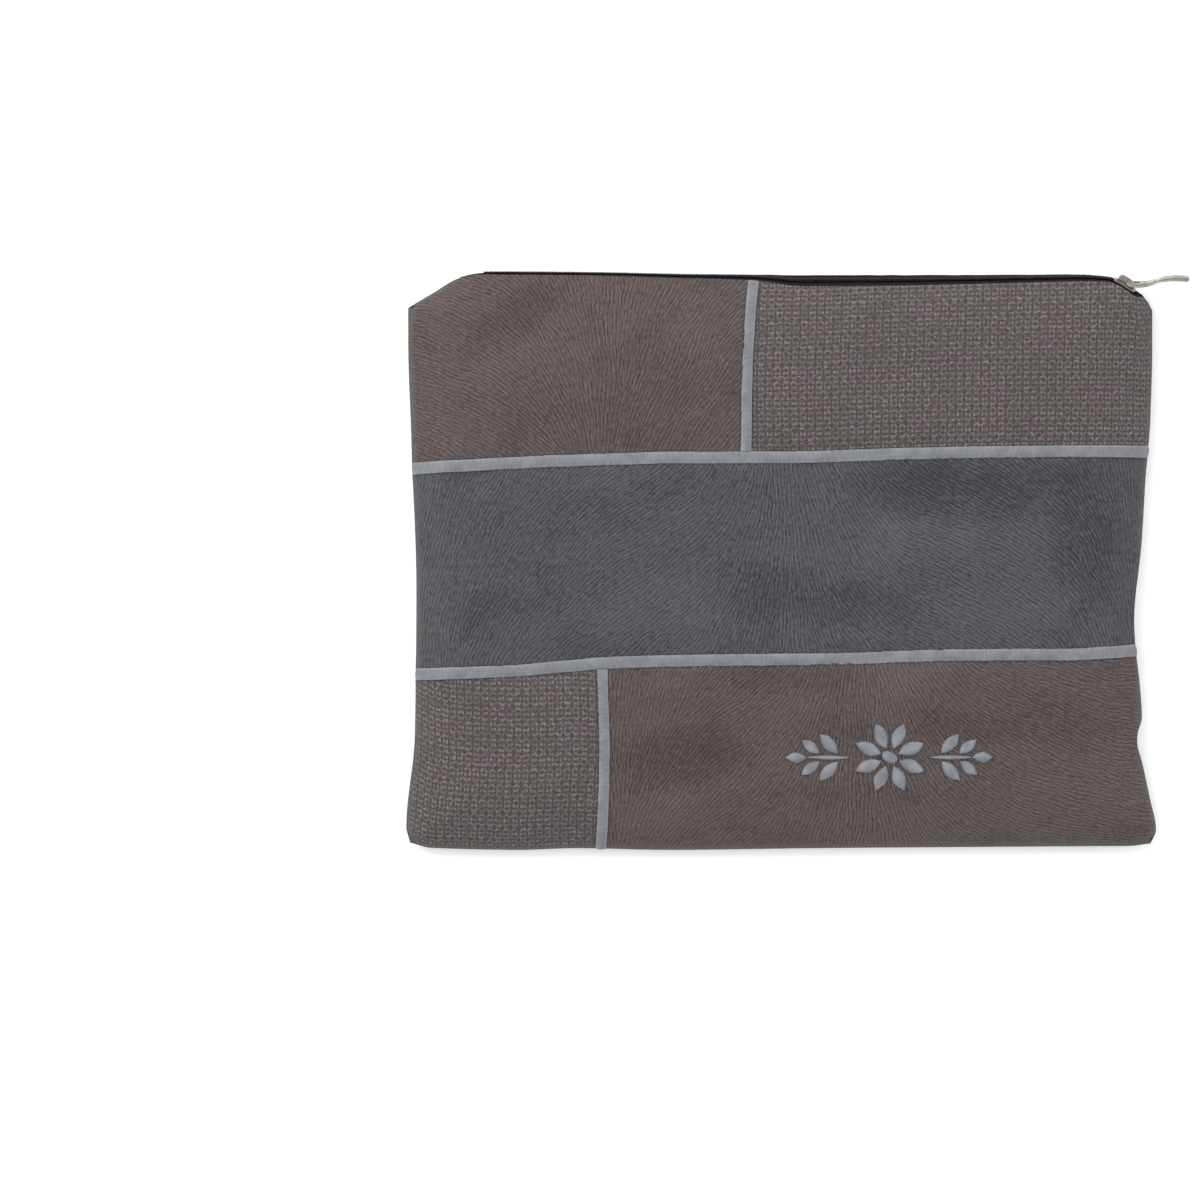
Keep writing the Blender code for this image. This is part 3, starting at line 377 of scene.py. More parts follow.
# %% Reading a table smoothly
def through(rows, column, place):
    """A smooth curve through one column of a table, read at many places."""
    table = np.array(rows, float)
    places, values = table[:, 0], table[:, column]
    place = np.clip(np.asarray(place, float), places[0], places[-1])
    start = np.clip(np.searchsorted(places, place, side="right") - 1, 0, len(places) - 2)
    steps = np.diff(places)
    secants = np.diff(values) / steps
    slopes = np.empty(len(places))
    slopes[0], slopes[-1] = secants[0], secants[-1]
    before, after = secants[:-1], secants[1:]
    agree = before * after > 0
    total = np.where(agree, before + after, 1.0)
    slopes[1:-1] = np.where(agree, 2 * before * after / total, 0.0)
    t = (place - places[start]) / steps[start]
    blend = t * t * (3 - 2 * t)
    lead = t * (1 - t) ** 2 * steps[start] * slopes[start]
    trail = t * t * (t - 1) * steps[start] * slopes[start + 1]
    return values[start] + (values[start + 1] - values[start]) * blend + lead + trail


def soft_step(value, start, end):
    t = np.clip((value - start) / (end - start), 0.0, 1.0)
    return t * t * (3 - 2 * t)


def by_side(u, column, v):
    """The right or the left edge table, whichever the place belongs to."""
    return np.where(u >= 0, through(RIGHT_EDGE, column, v), through(LEFT_EDGE, column, v))


print("dents and folds:", len(FOLDS))


# %% Outline and zip edge
def plan(u, v):
    """Across and up on the floor plan, for arrays of places."""
    u, v = np.broadcast_arrays(np.asarray(u, float), np.asarray(v, float))
    x = BAG_WIDTH / 2 * (u + (by_side(u, 1, v) - 1) * u**3)
    high = np.maximum((v - 0.5) / 0.5, 0) ** 1.3
    low = np.maximum((-v - 0.5) / 0.5, 0) ** 1.3
    top = through(TOP_EDGE, 1, u) - 1
    bottom = 1 - through(BOTTOM_EDGE, 1, u)
    y = BAG_HEIGHT / 2 * (v + top * high + bottom * low)
    return np.stack([x, y, np.zeros_like(x)], -1)


def level_out(before, after):
    along = plan(after, 1.0) - plan(before, 1.0)
    out = np.stack([-along[..., 1], along[..., 0], np.zeros_like(along[..., 0])], -1)
    return out / np.linalg.norm(out, axis=-1, keepdims=True)


def top_out(u):
    """Level direction out of the top edge, held steady along the slider."""
    u = np.asarray(u, float)
    local = level_out(np.maximum(u - 0.008, -1), np.minimum(u + 0.008, 1))
    held = level_out(np.full_like(u, SLIDER_START), np.full_like(u, SLIDER_END))
    near = soft_step(u, SLIDER_START - 0.05, SLIDER_START)
    near = near * (1 - soft_step(u, SLIDER_END, SLIDER_END + 0.05))
    out = local + (held - local) * near[..., None]
    return out / np.linalg.norm(out, axis=-1, keepdims=True)


def zip_share(u):
    return np.maximum(through(TOP_EDGE, 2, u), 0.0)


def band_show(u):
    return through(TOP_EDGE, 3, u) * BAG_HEIGHT / 2


def back_rim(u):
    return SEAM_HEIGHT - ZIP_DROP * zip_share(u)


def front_rim(u):
    band = np.maximum(ZIP_BAND * zip_share(u), band_show(u))
    return back_rim(u) + np.sqrt(band**2 - band_show(u) ** 2)


# %% Front and back surfaces
def roll(distance, length):
    t = np.clip(distance / length, 0.0, 1.0)
    return 1 - (1 - t) ** 2.4


def joined(first, second):
    return (first**4 + second**4) ** 0.25


def side_seam(u, v):
    return SEAM_HEIGHT * (1 + by_side(u, 3, v) * soft_step(np.abs(u), 0.8, 1.0))


def front_place(u, v):
    """Points on the outside of the front."""
    u, v = np.broadcast_arrays(np.asarray(u, float), np.asarray(v, float))
    high = np.maximum((v - 0.5) / 0.5, 0) ** 1.3
    place = plan(u, v) - top_out(u) * (band_show(u) * high)[..., None]
    side = (1 - np.abs(u)) * BAG_WIDTH / 2
    to_bottom = (1 + v) * BAG_HEIGHT / 2
    to_top = (1 - v) * BAG_HEIGHT / 2
    end = joined(1 - roll(to_bottom, BOTTOM_ROLL), 1 - roll(to_top, TOP_ROLL))
    full = np.maximum(1 - joined(1 - roll(side, SIDE_ROLL), end), 0.0)
    rim = side_seam(u, v) + (front_rim(u) - SEAM_HEIGHT) * soft_step(v, 0.55, 1.0)
    crown = (np.maximum(1 - u * u, 0) * np.maximum(1 - v * v, 0)) ** 0.7
    field = FIELD_THICKNESS + (CENTRE_THICKNESS - FIELD_THICKNESS) * crown
    for across, up, turn, length, width, height in FOLDS:
        angle = math.radians(turn)
        dx, dy = u - across, (v - up) * BAG_HEIGHT / BAG_WIDTH
        along = dx * math.cos(angle) + dy * math.sin(angle)
        aside = dy * math.cos(angle) - dx * math.sin(angle)
        dent = np.exp(-((along / length) ** 2) - (aside / width) ** 2)
        field = field + height * CENTRE_THICKNESS * dent
    place[..., 2] = rim + (field - rim) * full
    return place


def back_place(u, v):
    """Points on the outside of the back, flat where it rests."""
    u, v = np.broadcast_arrays(np.asarray(u, float), np.asarray(v, float))
    place = plan(u, v)
    side = np.maximum(1 - (1 - np.abs(u)) * BAG_WIDTH / 2 / BACK_ROLL, 0.0)
    end = np.maximum(1 - (1 - np.abs(v)) * BAG_HEIGHT / 2 / BACK_ROLL, 0.0)
    lift = np.minimum(joined(side**2, end**2), 1.0)
    rim = side_seam(u, v) + (back_rim(u) - SEAM_HEIGHT) * soft_step(v, 0.8, 1.0)
    inward = (1 - side) / 0.25
    bulge = by_side(u, 2, v) * inward * np.exp(1 - inward) * side
    place[..., 0] += np.sign(u) * bulge * BAG_WIDTH / 2
    place[..., 2] = rim * lift
    return place


def outward_of(net):
    """Unit normals of a net of points, up where it is flat."""
    across = np.gradient(net, axis=1)
    up = np.gradient(net, axis=0)
    normal = np.cross(across, up)
    return normal / np.linalg.norm(normal, axis=-1, keepdims=True)


check = front_place(np.array([0.0, 0.5]), np.array([0.0, 0.0]))
print("front height at the middle, mm:", round(float(check[0, 2]) / MM, 2))

# %% [markdown]
# ## One net for the whole front
#
# The five panels of the front meet at sewn joins, so they are cut from one net
# of points whose rows and columns run along those joins. That way neighbouring
# panels share their edge exactly, and the ribbons can sit on it. The net is
# closest at the outer seams, where the cloth turns down sharply.

# %% Rows and columns of the net
STEP = 1.3 * MM
SIM_STEP = 3.2 * MM
RIM_STEPS = [0.0, 0.35, 0.8, 1.4, 2.2, 3.2]


def block(length, step, low_rim, high_rim):
    """Shares across one panel, closer together at an outer rim."""
    start = [s * MM for s in RIM_STEPS] if low_rim else [0.0]
    end = [length - s * MM for s in RIM_STEPS[::-1]] if high_rim else [length]
    count = max(int(round((end[0] - start[-1]) / step)), 2)
    inner = np.linspace(start[-1], end[0], count + 1)[1:-1]
    return np.concatenate([start, inner, end]) / length


def block_line(lengths, step, rims):
    """Three blocks in a row: whole numbers are the joins between them."""
    line = []
    for number, length in enumerate(lengths):
        low = rims and number == 0
        high = rims and number == len(lengths) - 1
        shares = block(length, step, low, high)
        line.append(number + (shares if number == 0 else shares[1:]))
    return np.concatenate(line)


def net_places(columns, rows):
    """u and v of every net point."""
    s, t = np.meshgrid(columns, rows)
    u, v = s * 2 / 3 - 1, t * 2 / 3 - 1
    for _ in range(6):
        left = through(LOWER_UPRIGHT, 1, v)
        right = through(UPPER_UPRIGHT, 1, v)
        low = through(LOWER_JOIN, 1, u)
        high = through(UPPER_JOIN, 1, u)
        u = np.where(s < 1, -1 + (left + 1) * s, np.where(
            s < 2, left + (right - left) * (s - 1), right + (1 - right) * (s - 2)))
        v = np.where(t < 1, -1 + (low + 1) * t, np.where(
            t < 2, low + (high - low) * (t - 1), high + (1 - high) * (t - 2)))
    return u, v


WIDTHS = [share * BAG_WIDTH / 2 for share in (0.522, 0.391, 1.087)]
HEIGHTS = [share * BAG_HEIGHT / 2 for share in (0.66, 0.70, 0.64)]
columns = block_line(WIDTHS, STEP, True)
rows = block_line(HEIGHTS, STEP, True)
sim_columns = block_line(WIDTHS, SIM_STEP, False)
sim_rows = block_line(HEIGHTS, SIM_STEP, False)
front_u, front_v = net_places(columns, rows)
print("front net:", front_u.shape, "simulated net:", len(sim_rows), "x", len(sim_columns))

# %% [markdown]
# ## Letting the cloth settle
#
# Cloth over a soft filling isn't smooth: it swells a little between the seams
# that hold it down, and puckers beside them. Working that out by hand looks
# artificial, so a coarse net of the front is simulated as cloth: held along
# the seams, cut a trace too large, and pushed from below by a gentle pressure.
# Only how far it moved is kept, with a cap, and added to the fine net. It fades
# out towards the rim, because the outer seams keep the outline as it is.

# %% Simulating the front
SETTLE_FRAMES = 20
SETTLE_CAP = 2.2 * MM
SPARE_CLOTH = 0.006
RIM_FADE = 26 * MM
SEWN_HALF = 2.6 * MM


def grid_faces(row_count, column_count):
    corner = np.arange(row_count * column_count).reshape(row_count, column_count)
    quads = [corner[:-1, :-1], corner[:-1, 1:], corner[1:, 1:], corner[1:, :-1]]
    return np.stack([q.ravel() for q in quads], 1)


def mesh_object(name, points, faces):
    """A mesh from arrays, linked to the scene and shaded smooth."""
    mesh = bpy.data.meshes.new(name)
    mesh.from_pydata([tuple(p) for p in points.reshape(-1, 3)], [], [tuple(map(int, f)) for f in faces])
    mesh.shade_smooth()
    thing = bpy.data.objects.new(name, mesh)
    bpy.context.scene.collection.objects.link(thing)
    return thing


def to_rim(u, v):
    """How far a place is from the nearest outer seam."""
    return np.minimum((1 - np.abs(u)) * BAG_WIDTH / 2, (1 - np.abs(v)) * BAG_HEIGHT / 2)


def sewn_down(columns, rows, width_scale, height_scale):
    """True where a net point lies at a seam or at the rim."""
    s, t = np.meshgrid(columns, rows)
    at = (s <= 0) | (s >= 3) | (t <= 0) | (t >= 3)
    near_row = np.minimum(np.abs(t - 1), np.abs(t - 2)) * height_scale < SEWN_HALF
    near_left = (np.abs(s - 1) * width_scale < SEWN_HALF) & (t < 1)
    near_right = (np.abs(s - 2) * width_scale < SEWN_HALF) & (t > 2)
    return at | near_row | near_left | near_right


def settle(net, held):
    """How far each point of a net moves when it settles as cloth."""
    cloth = mesh_object("settling_cloth", net, grid_faces(*net.shape[:2]))
    group = cloth.vertex_groups.new(name="held")
    group.add([int(i) for i in np.flatnonzero(held.ravel())], 1.0, "REPLACE")
    change = cloth.modifiers.new("Cloth", "CLOTH")
    settings = change.settings
    settings.quality = 6
    settings.mass = 0.02
    settings.tension_stiffness = 20
    settings.compression_stiffness = 20
    settings.shear_stiffness = 8
    settings.bending_stiffness = 0.4
    settings.air_damping = 3
    settings.vertex_group_mass = "held"
    settings.shrink_min = -SPARE_CLOTH
    settings.use_pressure = True
    settings.uniform_pressure_force = 4.0
    settings.effector_weights.gravity = 0
    change.collision_settings.use_collision = False
    scene = bpy.context.scene
    for number in range(1, SETTLE_FRAMES + 1):
        scene.frame_set(number)
    graph = bpy.context.evaluated_depsgraph_get()
    settled = cloth.evaluated_get(graph).to_mesh()
    flat = np.empty(len(settled.vertices) * 3)
    settled.vertices.foreach_get("co", flat)
    scene.frame_set(1)
    bpy.data.objects.remove(cloth, do_unlink=True)
    moved = flat.reshape(net.shape) - net
    far = np.linalg.norm(moved, axis=-1, keepdims=True)
    return moved * np.minimum(1.0, SETTLE_CAP / np.maximum(far, 1e-9))


sim_u, sim_v = net_places(sim_columns, sim_rows)
sim_net = front_place(sim_u, sim_v)
sim_held = sewn_down(sim_columns, sim_rows, 90 * MM, 92 * MM)
sim_moved = np.zeros_like(sim_net)
sim_moved = settle(sim_net, sim_held)
sim_moved *= soft_step(to_rim(sim_u, sim_v), 0, RIM_FADE)[..., None]
print("cloth moved, mm, mean and most:",
      round(float(np.linalg.norm(sim_moved, axis=-1).mean()) / MM, 2),
      round(float(np.linalg.norm(sim_moved, axis=-1).max()) / MM, 2))

# %% [markdown]
# ## From a net to a sewn cloth panel
#
# The fine net gets the settled shape, then the small puckers that thread pulls
# into cloth beside a seam: short waves that run away from the seam and die out
# within a centimetre. A panel is a slice of that net with a wall of cloth
# thickness behind it. Its place across and up the cloth is kept as a UV map in
# metres, because a weave bends with the cloth and not with the room.

# %% Carrying the settled shape to the fine net
def smooth_read(line, coarse):
    """Weights that read a coarse line of points smoothly at finer places."""
    place = np.interp(line, coarse, np.arange(len(coarse)))
    start = np.clip(place.astype(int), 0, len(coarse) - 2)
    t = place - start
    weights = np.zeros((len(line), len(coarse)))
    curve = [
        -0.5 * t**3 + t**2 - 0.5 * t,
        1.5 * t**3 - 2.5 * t**2 + 1,
        -1.5 * t**3 + 2 * t**2 + 0.5 * t,
        0.5 * t**3 - 0.5 * t**2,
    ]
    for step, share in zip((-1, 0, 1, 2), curve):
        which = np.clip(start + step, 0, len(coarse) - 1)
        np.add.at(weights, (np.arange(len(line)), which), share)
    return weights


def soft_noise(place, size, seed):
    """Smooth random values from -1 to 1 over places in metres, size apart."""
    dice = np.random.default_rng(seed)
    field = dice.uniform(-1, 1, (64, 64))
    x, y = place[..., 0] / size + 100, place[..., 1] / size + 100
    i, j = np.floor(x).astype(int), np.floor(y).astype(int)
    fx, fy = soft_step(x - i, 0, 1), soft_step(y - j, 0, 1)
    low = field[i % 64, j % 64] * (1 - fx) + field[(i + 1) % 64, j % 64] * fx
    high = field[i % 64, (j + 1) % 64] * (1 - fx) + field[(i + 1) % 64, (j + 1) % 64] * fx
    return low * (1 - fy) + high * fy


def run_length(net, axis):
    """How far along its rows or its columns each net point lies, in metres."""
    steps = np.linalg.norm(np.diff(net, axis=axis), axis=-1)
    total = np.concatenate([np.zeros_like(np.take(steps, [0], axis)), np.cumsum(steps, axis)], axis)
    return total


PUCKER_HEIGHT = 0.30 * MM
PUCKER_LENGTH = 8 * MM
PUCKER_PITCH = 7 * MM
CREASE_HEIGHT = 0.35 * MM

front_net = front_place(front_u, front_v)
along_s = smooth_read(columns, sim_columns)
along_t = smooth_read(rows, sim_rows)
for axis in range(3):
    front_net[..., axis] += along_t @ sim_moved[..., axis] @ along_s.T

grid_s, grid_t = np.meshgrid(columns, rows)
across_mm = run_length(front_net, 1)
up_mm = run_length(front_net, 0)
seam_gap = np.minimum(np.abs(grid_t - 1), np.abs(grid_t - 2)) * 92 * MM
seam_gap = np.minimum(seam_gap, np.minimum(grid_t, 3 - grid_t) * 90 * MM)
post_gap = np.where(grid_t < 1, np.abs(grid_s - 1) * 90 * MM, np.where(
    grid_t > 2, np.abs(grid_s - 2) * 90 * MM, 1.0))
side_gap = np.minimum(grid_s, 3 - grid_s) * 120 * MM


def puckers(gap, along, seed):
    """Waves along a seam that die out away from it."""
    drift = soft_noise(np.stack([along, gap * 0], -1), 23 * MM, seed) * 2.5
    wave = np.sin(2 * math.pi * along / PUCKER_PITCH + drift * 2)
    size = 0.55 + 0.45 * soft_noise(np.stack([along, gap * 0], -1), 31 * MM, seed + 1)
    fade = np.exp(-gap / PUCKER_LENGTH * 2) * soft_step(gap, 0, 3.5 * MM)
    return PUCKER_HEIGHT * wave * size * fade * 2


height = puckers(seam_gap, across_mm, 3) + puckers(post_gap, up_mm, 5) + puckers(side_gap, up_mm, 7)
spread = np.stack([front_net[..., 0] * 0.8 + front_net[..., 1] * 0.35, front_net[..., 1] - front_net[..., 0] * 0.3], -1)
inner = soft_step(np.minimum(np.minimum(seam_gap, post_gap), side_gap), 0, 9 * MM)
height += CREASE_HEIGHT * soft_noise(spread, 17 * MM, 11) * inner
height += CREASE_HEIGHT * 0.5 * soft_noise(spread, 7 * MM, 12) * inner
front_net += outward_of(front_net) * height[..., None]
print("front cloth, highest, mm:", round(float(front_net[..., 2].max()) / MM, 2))

# %% Cutting a panel out of the net
CLOTH = 1.2 * MM
SEAM_TURN = 5 * MM
UV_NAME = "cloth_place"


def cloth_panel(name, net, uv, u, v, side):
    """A closed wall of cloth: the net is its outside, side is 1 up or -1 down.
    At an outer seam the wall lies level, so that front and back only touch."""
    beside = 1 - soft_step((1 - np.abs(u)) * BAG_WIDTH / 2, 0, SEAM_TURN)
    ended = 1 - soft_step((1 - np.abs(v)) * BAG_HEIGHT / 2, 0, SEAM_TURN)
    level = np.stack([np.sign(u) * beside, np.sign(v) * ended, u * 0], -1)
    level /= np.maximum(np.linalg.norm(level, axis=-1, keepdims=True), 1e-9)
    share = np.maximum(beside, ended)[..., None]
    normal = outward_of(net) * side * (1 - share) + level * share
    inner_net = net - normal / np.linalg.norm(normal, axis=-1, keepdims=True) * CLOTH
    row_count, column_count = net.shape[:2]
    count = row_count * column_count
    faces = grid_faces(row_count, column_count)
    outside = faces if side > 0 else faces[:, ::-1]
    inside = (faces[:, ::-1] if side > 0 else faces) + count
    corner = np.arange(count).reshape(row_count, column_count)
    ring = np.concatenate([corner[0, :-1], corner[:-1, -1], corner[-1, :0:-1], corner[:0:-1, 0]])
    after = np.roll(ring, -1)
    hem = np.stack([ring, ring + count, after + count, after], 1)
    if side < 0:
        hem = hem[:, ::-1]
    points = np.concatenate([net.reshape(-1, 3), inner_net.reshape(-1, 3)])
    piece = mesh_object(name, points, np.concatenate([outside, inside, hem]))
    layer = piece.data.uv_layers.new(name=UV_NAME)
    places = np.concatenate([uv.reshape(-1, 2)] * 2)
    loops = np.empty(len(piece.data.loops), int)
    piece.data.loops.foreach_get("vertex_index", loops)
    layer.data.foreach_set("uv", places[loops].astype(np.float32).ravel())
    piece.data.set_sharp_from_angle(angle=math.radians(70))
    return piece


def front_slice(first_column, last_column, first_row, last_row):
    """Net, UV, u and v of the part of the front between some joins."""
    keep_columns = (columns >= first_column - 1e-6) & (columns <= last_column + 1e-6)
    keep_rows = (rows >= first_row - 1e-6) & (rows <= last_row + 1e-6)
    which = np.ix_(keep_rows, keep_columns)
    part = front_net[which]
    across = run_length(part, 1)
    across -= across[:, [across.shape[1] // 2]]
    up = run_length(part, 0)
    return part, np.stack([across, up], -1), front_u[which], front_v[which]


FRONT_PANELS = {
    "upper_left": (0, 2, 2, 3),
    "upper_right": (2, 3, 2, 3),
    "middle": (0, 3, 1, 2),
    "lower_left": (0, 1, 0, 1),
    "lower_right": (1, 3, 0, 1),
}
panels = {}
for name, bounds in FRONT_PANELS.items():
    part, uv, *places = front_slice(*bounds)
    panels[name] = cloth_panel(f"{name}_cloth", part, uv, *places, 1)
    area = sum(face.area for face in panels[name].data.polygons) / 2
    cut = [round(float(np.ptp(side)) / MM) for side in (uv[..., 0], uv[..., 1])]
    print(name, "triangles", len(panels[name].data.polygons) * 2, "cut, mm", cut, "area, cm2", round(area * 1e4, 1))

# %% [markdown]
# ## The back cloth
#
# The back is one plain piece of cloth. It lies flat on the floor and turns up
# to the seam all round, so it is cut from its own surface, with soft creases
# only where it leaves the floor: what lies down is pressed flat.

# %% The back
back_u, back_v = net_places(columns[::2], rows[::2])
back_net = back_place(back_u, back_v)
back_gap = to_rim(back_u, back_v)
lifted = soft_step(back_net[..., 2], 0.2 * MM, 3 * MM) * soft_step(back_gap, 0, 6 * MM)
back_net[..., 2] += lifted * 0.5 * MM * soft_noise(back_net, 11 * MM, 21)
below_front = front_place(back_u, back_v)[..., 2] - 0.8 * MM * soft_step(back_gap, 0, 3 * MM)
back_net[..., 2] = np.clip(back_net[..., 2], 0.02 * MM, below_front - 0.05 * MM)
back_uv = np.stack([run_length(back_net, 1), run_length(back_net, 0)], -1)
back_cloth = cloth_panel("back_cloth", back_net, back_uv, back_u, back_v, -1)
area = sum(face.area for face in back_cloth.data.polygons) / 2
cut = [round(float(np.ptp(side)) / MM) for side in (back_uv[..., 0], back_uv[..., 1])]
print("back triangles", len(back_cloth.data.polygons) * 2, "cut, mm", cut, "area, cm2", round(area * 1e4, 1))

# %% [markdown]
# ## Ribbons over the joins
#
# A folded satin ribbon is sewn over every join. It is a shallow crowned strip
# that follows the cloth, held down by a line of stitches near each edge, so
# its edges dip and its top rises and falls a little between stitches. One
# section is swept along each join; its UV map runs along and across it.

# %% Sweeping the ribbons
CROSS_RIBBON_WIDTH = 5.9 * MM
UPRIGHT_RIBBON_WIDTH = 5.3 * MM
RIBBON_RISE = 1.35 * MM
RIBBON_SIDES = 14


def on_front(u, v, height):
    """Points over the front, raised along the outward direction there."""
    step = 0.004
    point = front_place(u, v)
    across = front_place(np.minimum(u + step, 1), v) - front_place(np.maximum(u - step, -1), v)
    up = front_place(u, np.minimum(v + step, 1)) - front_place(u, np.maximum(v - step, -1))
    out = np.cross(across, up)
    out /= np.linalg.norm(out, axis=-1, keepdims=True)
    return point + out * np.asarray(height)[..., None]


def tube(name, rings, uv=None):
    """Rings of points joined end to end and closed with caps."""
    rings = np.asarray(rings)
    count, sides = rings.shape[:2]
    corner = np.arange(count * sides).reshape(count, sides)
    after = np.roll(corner, -1, 1)
    quads = np.stack([corner[:-1].ravel(), after[:-1].ravel(), after[1:].ravel(), corner[1:].ravel()], 1)
    piece = mesh_object(name, rings, quads)
    shape = bmesh.new()
    shape.from_mesh(piece.data)
    shape.verts.ensure_lookup_table()
    for ring in (corner[0], corner[-1]):
        shape.faces.new([shape.verts[int(i)] for i in ring])
    bmesh.ops.recalc_face_normals(shape, faces=shape.faces)
    if shape.calc_volume(signed=True) < 0:
        bmesh.ops.reverse_faces(shape, faces=shape.faces)
    shape.to_mesh(piece.data)
    shape.free()
    piece.data.shade_smooth()
    piece.data.set_sharp_from_angle(angle=math.radians(65))
    if uv is not None:
        layer = piece.data.uv_layers.new(name=UV_NAME)
        loops = np.empty(len(piece.data.loops), int)
        piece.data.loops.foreach_get("vertex_index", loops)
        layer.data.foreach_set("uv", np.asarray(uv).reshape(-1, 2)[loops].astype(np.float32).ravel())
    return piece


def ribbon(name, u, v, width, upright, seed):
    """A ribbon along a line of places on the front."""
    line = front_place(u, v)
    along = np.concatenate([[0], np.cumsum(np.linalg.norm(np.diff(line, axis=0), axis=1))])
    half = width / 2
    wobble = soft_noise(np.stack([along, along * 0], -1), 9 * MM, seed) * 0.12 * MM
    swell = 1 + 0.14 * soft_noise(np.stack([along, along * 0], -1), 5 * MM, seed + 1)
    turns = np.linspace(0, math.pi, RIBBON_SIDES - 1)
    rings, uvs = [], []
    for turn in turns:
        aside = -np.cos(turn) * half + wobble
        rise = math.sin(turn) ** 0.62
        dip = 1 - 0.12 * math.exp(-((abs(math.cos(turn)) - 0.72) / 0.12) ** 2)
        height = 0.1 * MM + (RIBBON_RISE - 0.1 * MM) * rise * dip * swell
        rings.append(ribbon_point(u, v, aside, height, upright))
        uvs.append(np.stack([along, aside], -1))
    rings.append(ribbon_point(u, v, wobble * 1.0, np.full_like(along, -0.1 * MM), upright))
    uvs.append(np.stack([along, wobble], -1))
    return tube(name, np.stack(rings, 1), np.stack(uvs, 1))


def ribbon_point(u, v, aside, height, upright):
    if upright:
        return on_front(np.clip(u + aside / (BAG_WIDTH / 2), -1, 1), v, height)
    return on_front(u, np.clip(v + aside / (BAG_HEIGHT / 2), -1, 1), height)


def line_places(low, high, length):
    return np.linspace(low, high, int(length / (1.1 * MM)))


RIM = 0.0035
cross_u = line_places(-1 + RIM, 1 - RIM, BAG_WIDTH)
upper_post = float(through(UPPER_UPRIGHT, 1, 0.5))
lower_post = float(through(LOWER_UPRIGHT, 1, -0.5))
BUTT = CROSS_RIBBON_WIDTH / 2 / (BAG_HEIGHT / 2)
upper_v = line_places(float(through(UPPER_JOIN, 1, upper_post)) + BUTT, 1 - RIM, 0.09)
lower_v = line_places(-1 + RIM, float(through(LOWER_JOIN, 1, lower_post)) - BUTT, 0.09)
RIBBON_LINES = {
    "upper_ribbon": (cross_u, through(UPPER_JOIN, 1, cross_u), CROSS_RIBBON_WIDTH, False),
    "lower_ribbon": (cross_u, through(LOWER_JOIN, 1, cross_u), CROSS_RIBBON_WIDTH, False),
    "upper_upright_ribbon": (through(UPPER_UPRIGHT, 1, upper_v), upper_v, UPRIGHT_RIBBON_WIDTH, True),
    "lower_upright_ribbon": (through(LOWER_UPRIGHT, 1, lower_v), lower_v, UPRIGHT_RIBBON_WIDTH, True),
}
ribbons = {}
for seed, (node, line) in enumerate(RIBBON_LINES.items()):
    ribbons[node] = ribbon(f"{node}_satin", *line, seed * 10 + 31)
print("ribbons:", len(ribbons), "triangles each about", len(ribbons["upper_ribbon"].data.polygons) * 2)

# %% [markdown]
# ## Pressed suede
#
# Three panels are a short-napped suede pressed with fine wavy lines, like
# combed fur. The lines are about 2 mm apart, break off and start again, and
# turn slowly across the bag. Gabor noise makes just such lines: its frequency
# sets their spacing, and its orientation, read from a short table of places
# across the bag, sets their lie. Soft dark and light patches are painted into
# the colour, listed one by one because they aren't random to the eye: painted
# shade in the shallow folds and painted light on their crests, with some of
# the nap's own tone where it is brushed the other way.

# %% Lines that turn across the bag
LINE_SCALE = 170.0
LINE_WAVES = 3.1
HAIR_SCALE = 330.0
HAIR_WAVES = 2.4
REACH = 200 * MM

# Place across in mm, and which way the pressed lines lean, in degrees
UPPER_LEFT_TURNS = [(-180, 158), (-136, 142), (-107, 118), (-85, 92), (-63, 66), (-20, 46), (0, 44)]
MIDDLE_TURNS = [
    (-180, 78), (-145, 62), (-106, 42), (-78, 34), (-44, 45), (-15, 72), (5, 92),
    (34, 122), (67, 148), (106, 150), (145, 125), (174, 95),
]
LOWER_RIGHT_TURNS = [
    (-85, 95), (-58, 66), (-29, 42), (5, 52), (41, 90), (72, 128), (111, 150), (154, 163), (180, 165),
]
# Painted fold shade and nap patches: middle across and up in mm, half length
# and half width in mm, turn in degrees, and how dark (or light, if below zero)
UPPER_LEFT_FOLD_SHADE = [
    (-130, 115, 24, 8, 38, 0.55), (-150, 98, 26, 10, 20, -0.2), (-60, 70, 40, 14, 70, 0.2),
    (-40, 110, 26, 12, 40, -0.2), (-100, 66, 34, 10, 8, 0.15),
]
MIDDLE_FOLD_SHADE = [
    (77, 34, 34, 12, -8, 0.75), (147, 18, 15, 32, 0, 0.55), (12, -17, 44, 12, -6, 0.55),
    (-100, 20, 40, 12, 12, 0.35), (-60, -22, 40, 10, 10, -0.35), (40, 4, 46, 12, 12, -0.35),
    (110, -22, 34, 12, 12, -0.3), (-135, -20, 22, 14, 30, 0.3), (-20, 36, 40, 10, 0, 0.25),
    (118, 42, 26, 8, -10, 0.3),
]
LOWER_RIGHT_FOLD_SHADE = [
    (-51, -96, 30, 12, 6, 0.75), (90, -80, 26, 7, 0, 0.55), (1, -57, 36, 6, 0, 0.4),
    (52, -61, 22, 10, 25, -0.35), (-57, -122, 26, 8, 4, -0.45), (130, -76, 20, 10, -30, 0.35),
    (150, -110, 30, 12, 20, -0.2), (60, -126, 60, 8, 0, -0.2), (20, -84, 24, 10, 30, 0.2),
]


def painted_fold_shade_and_nap(finish, x, y, fold_shade_rows):
    """Painted shade and light of the folds, with the nap's own tone: a soft oval for every row."""
    total = 0.0
    for across, up, half_length, half_width, turn, dark in fold_shade_rows:
        angle = math.radians(turn)
        dx, dy = x - across * MM, y - up * MM
        along = (dx * math.cos(angle) + dy * math.sin(angle)) / (half_length * MM * 1.5)
        aside = (dy * math.cos(angle) - dx * math.sin(angle)) / (half_width * MM * 1.7)
        oval = (along * along + aside * aside).rise(0.0, 1.0, dark, 0.0)
        total = oval + total
    return total


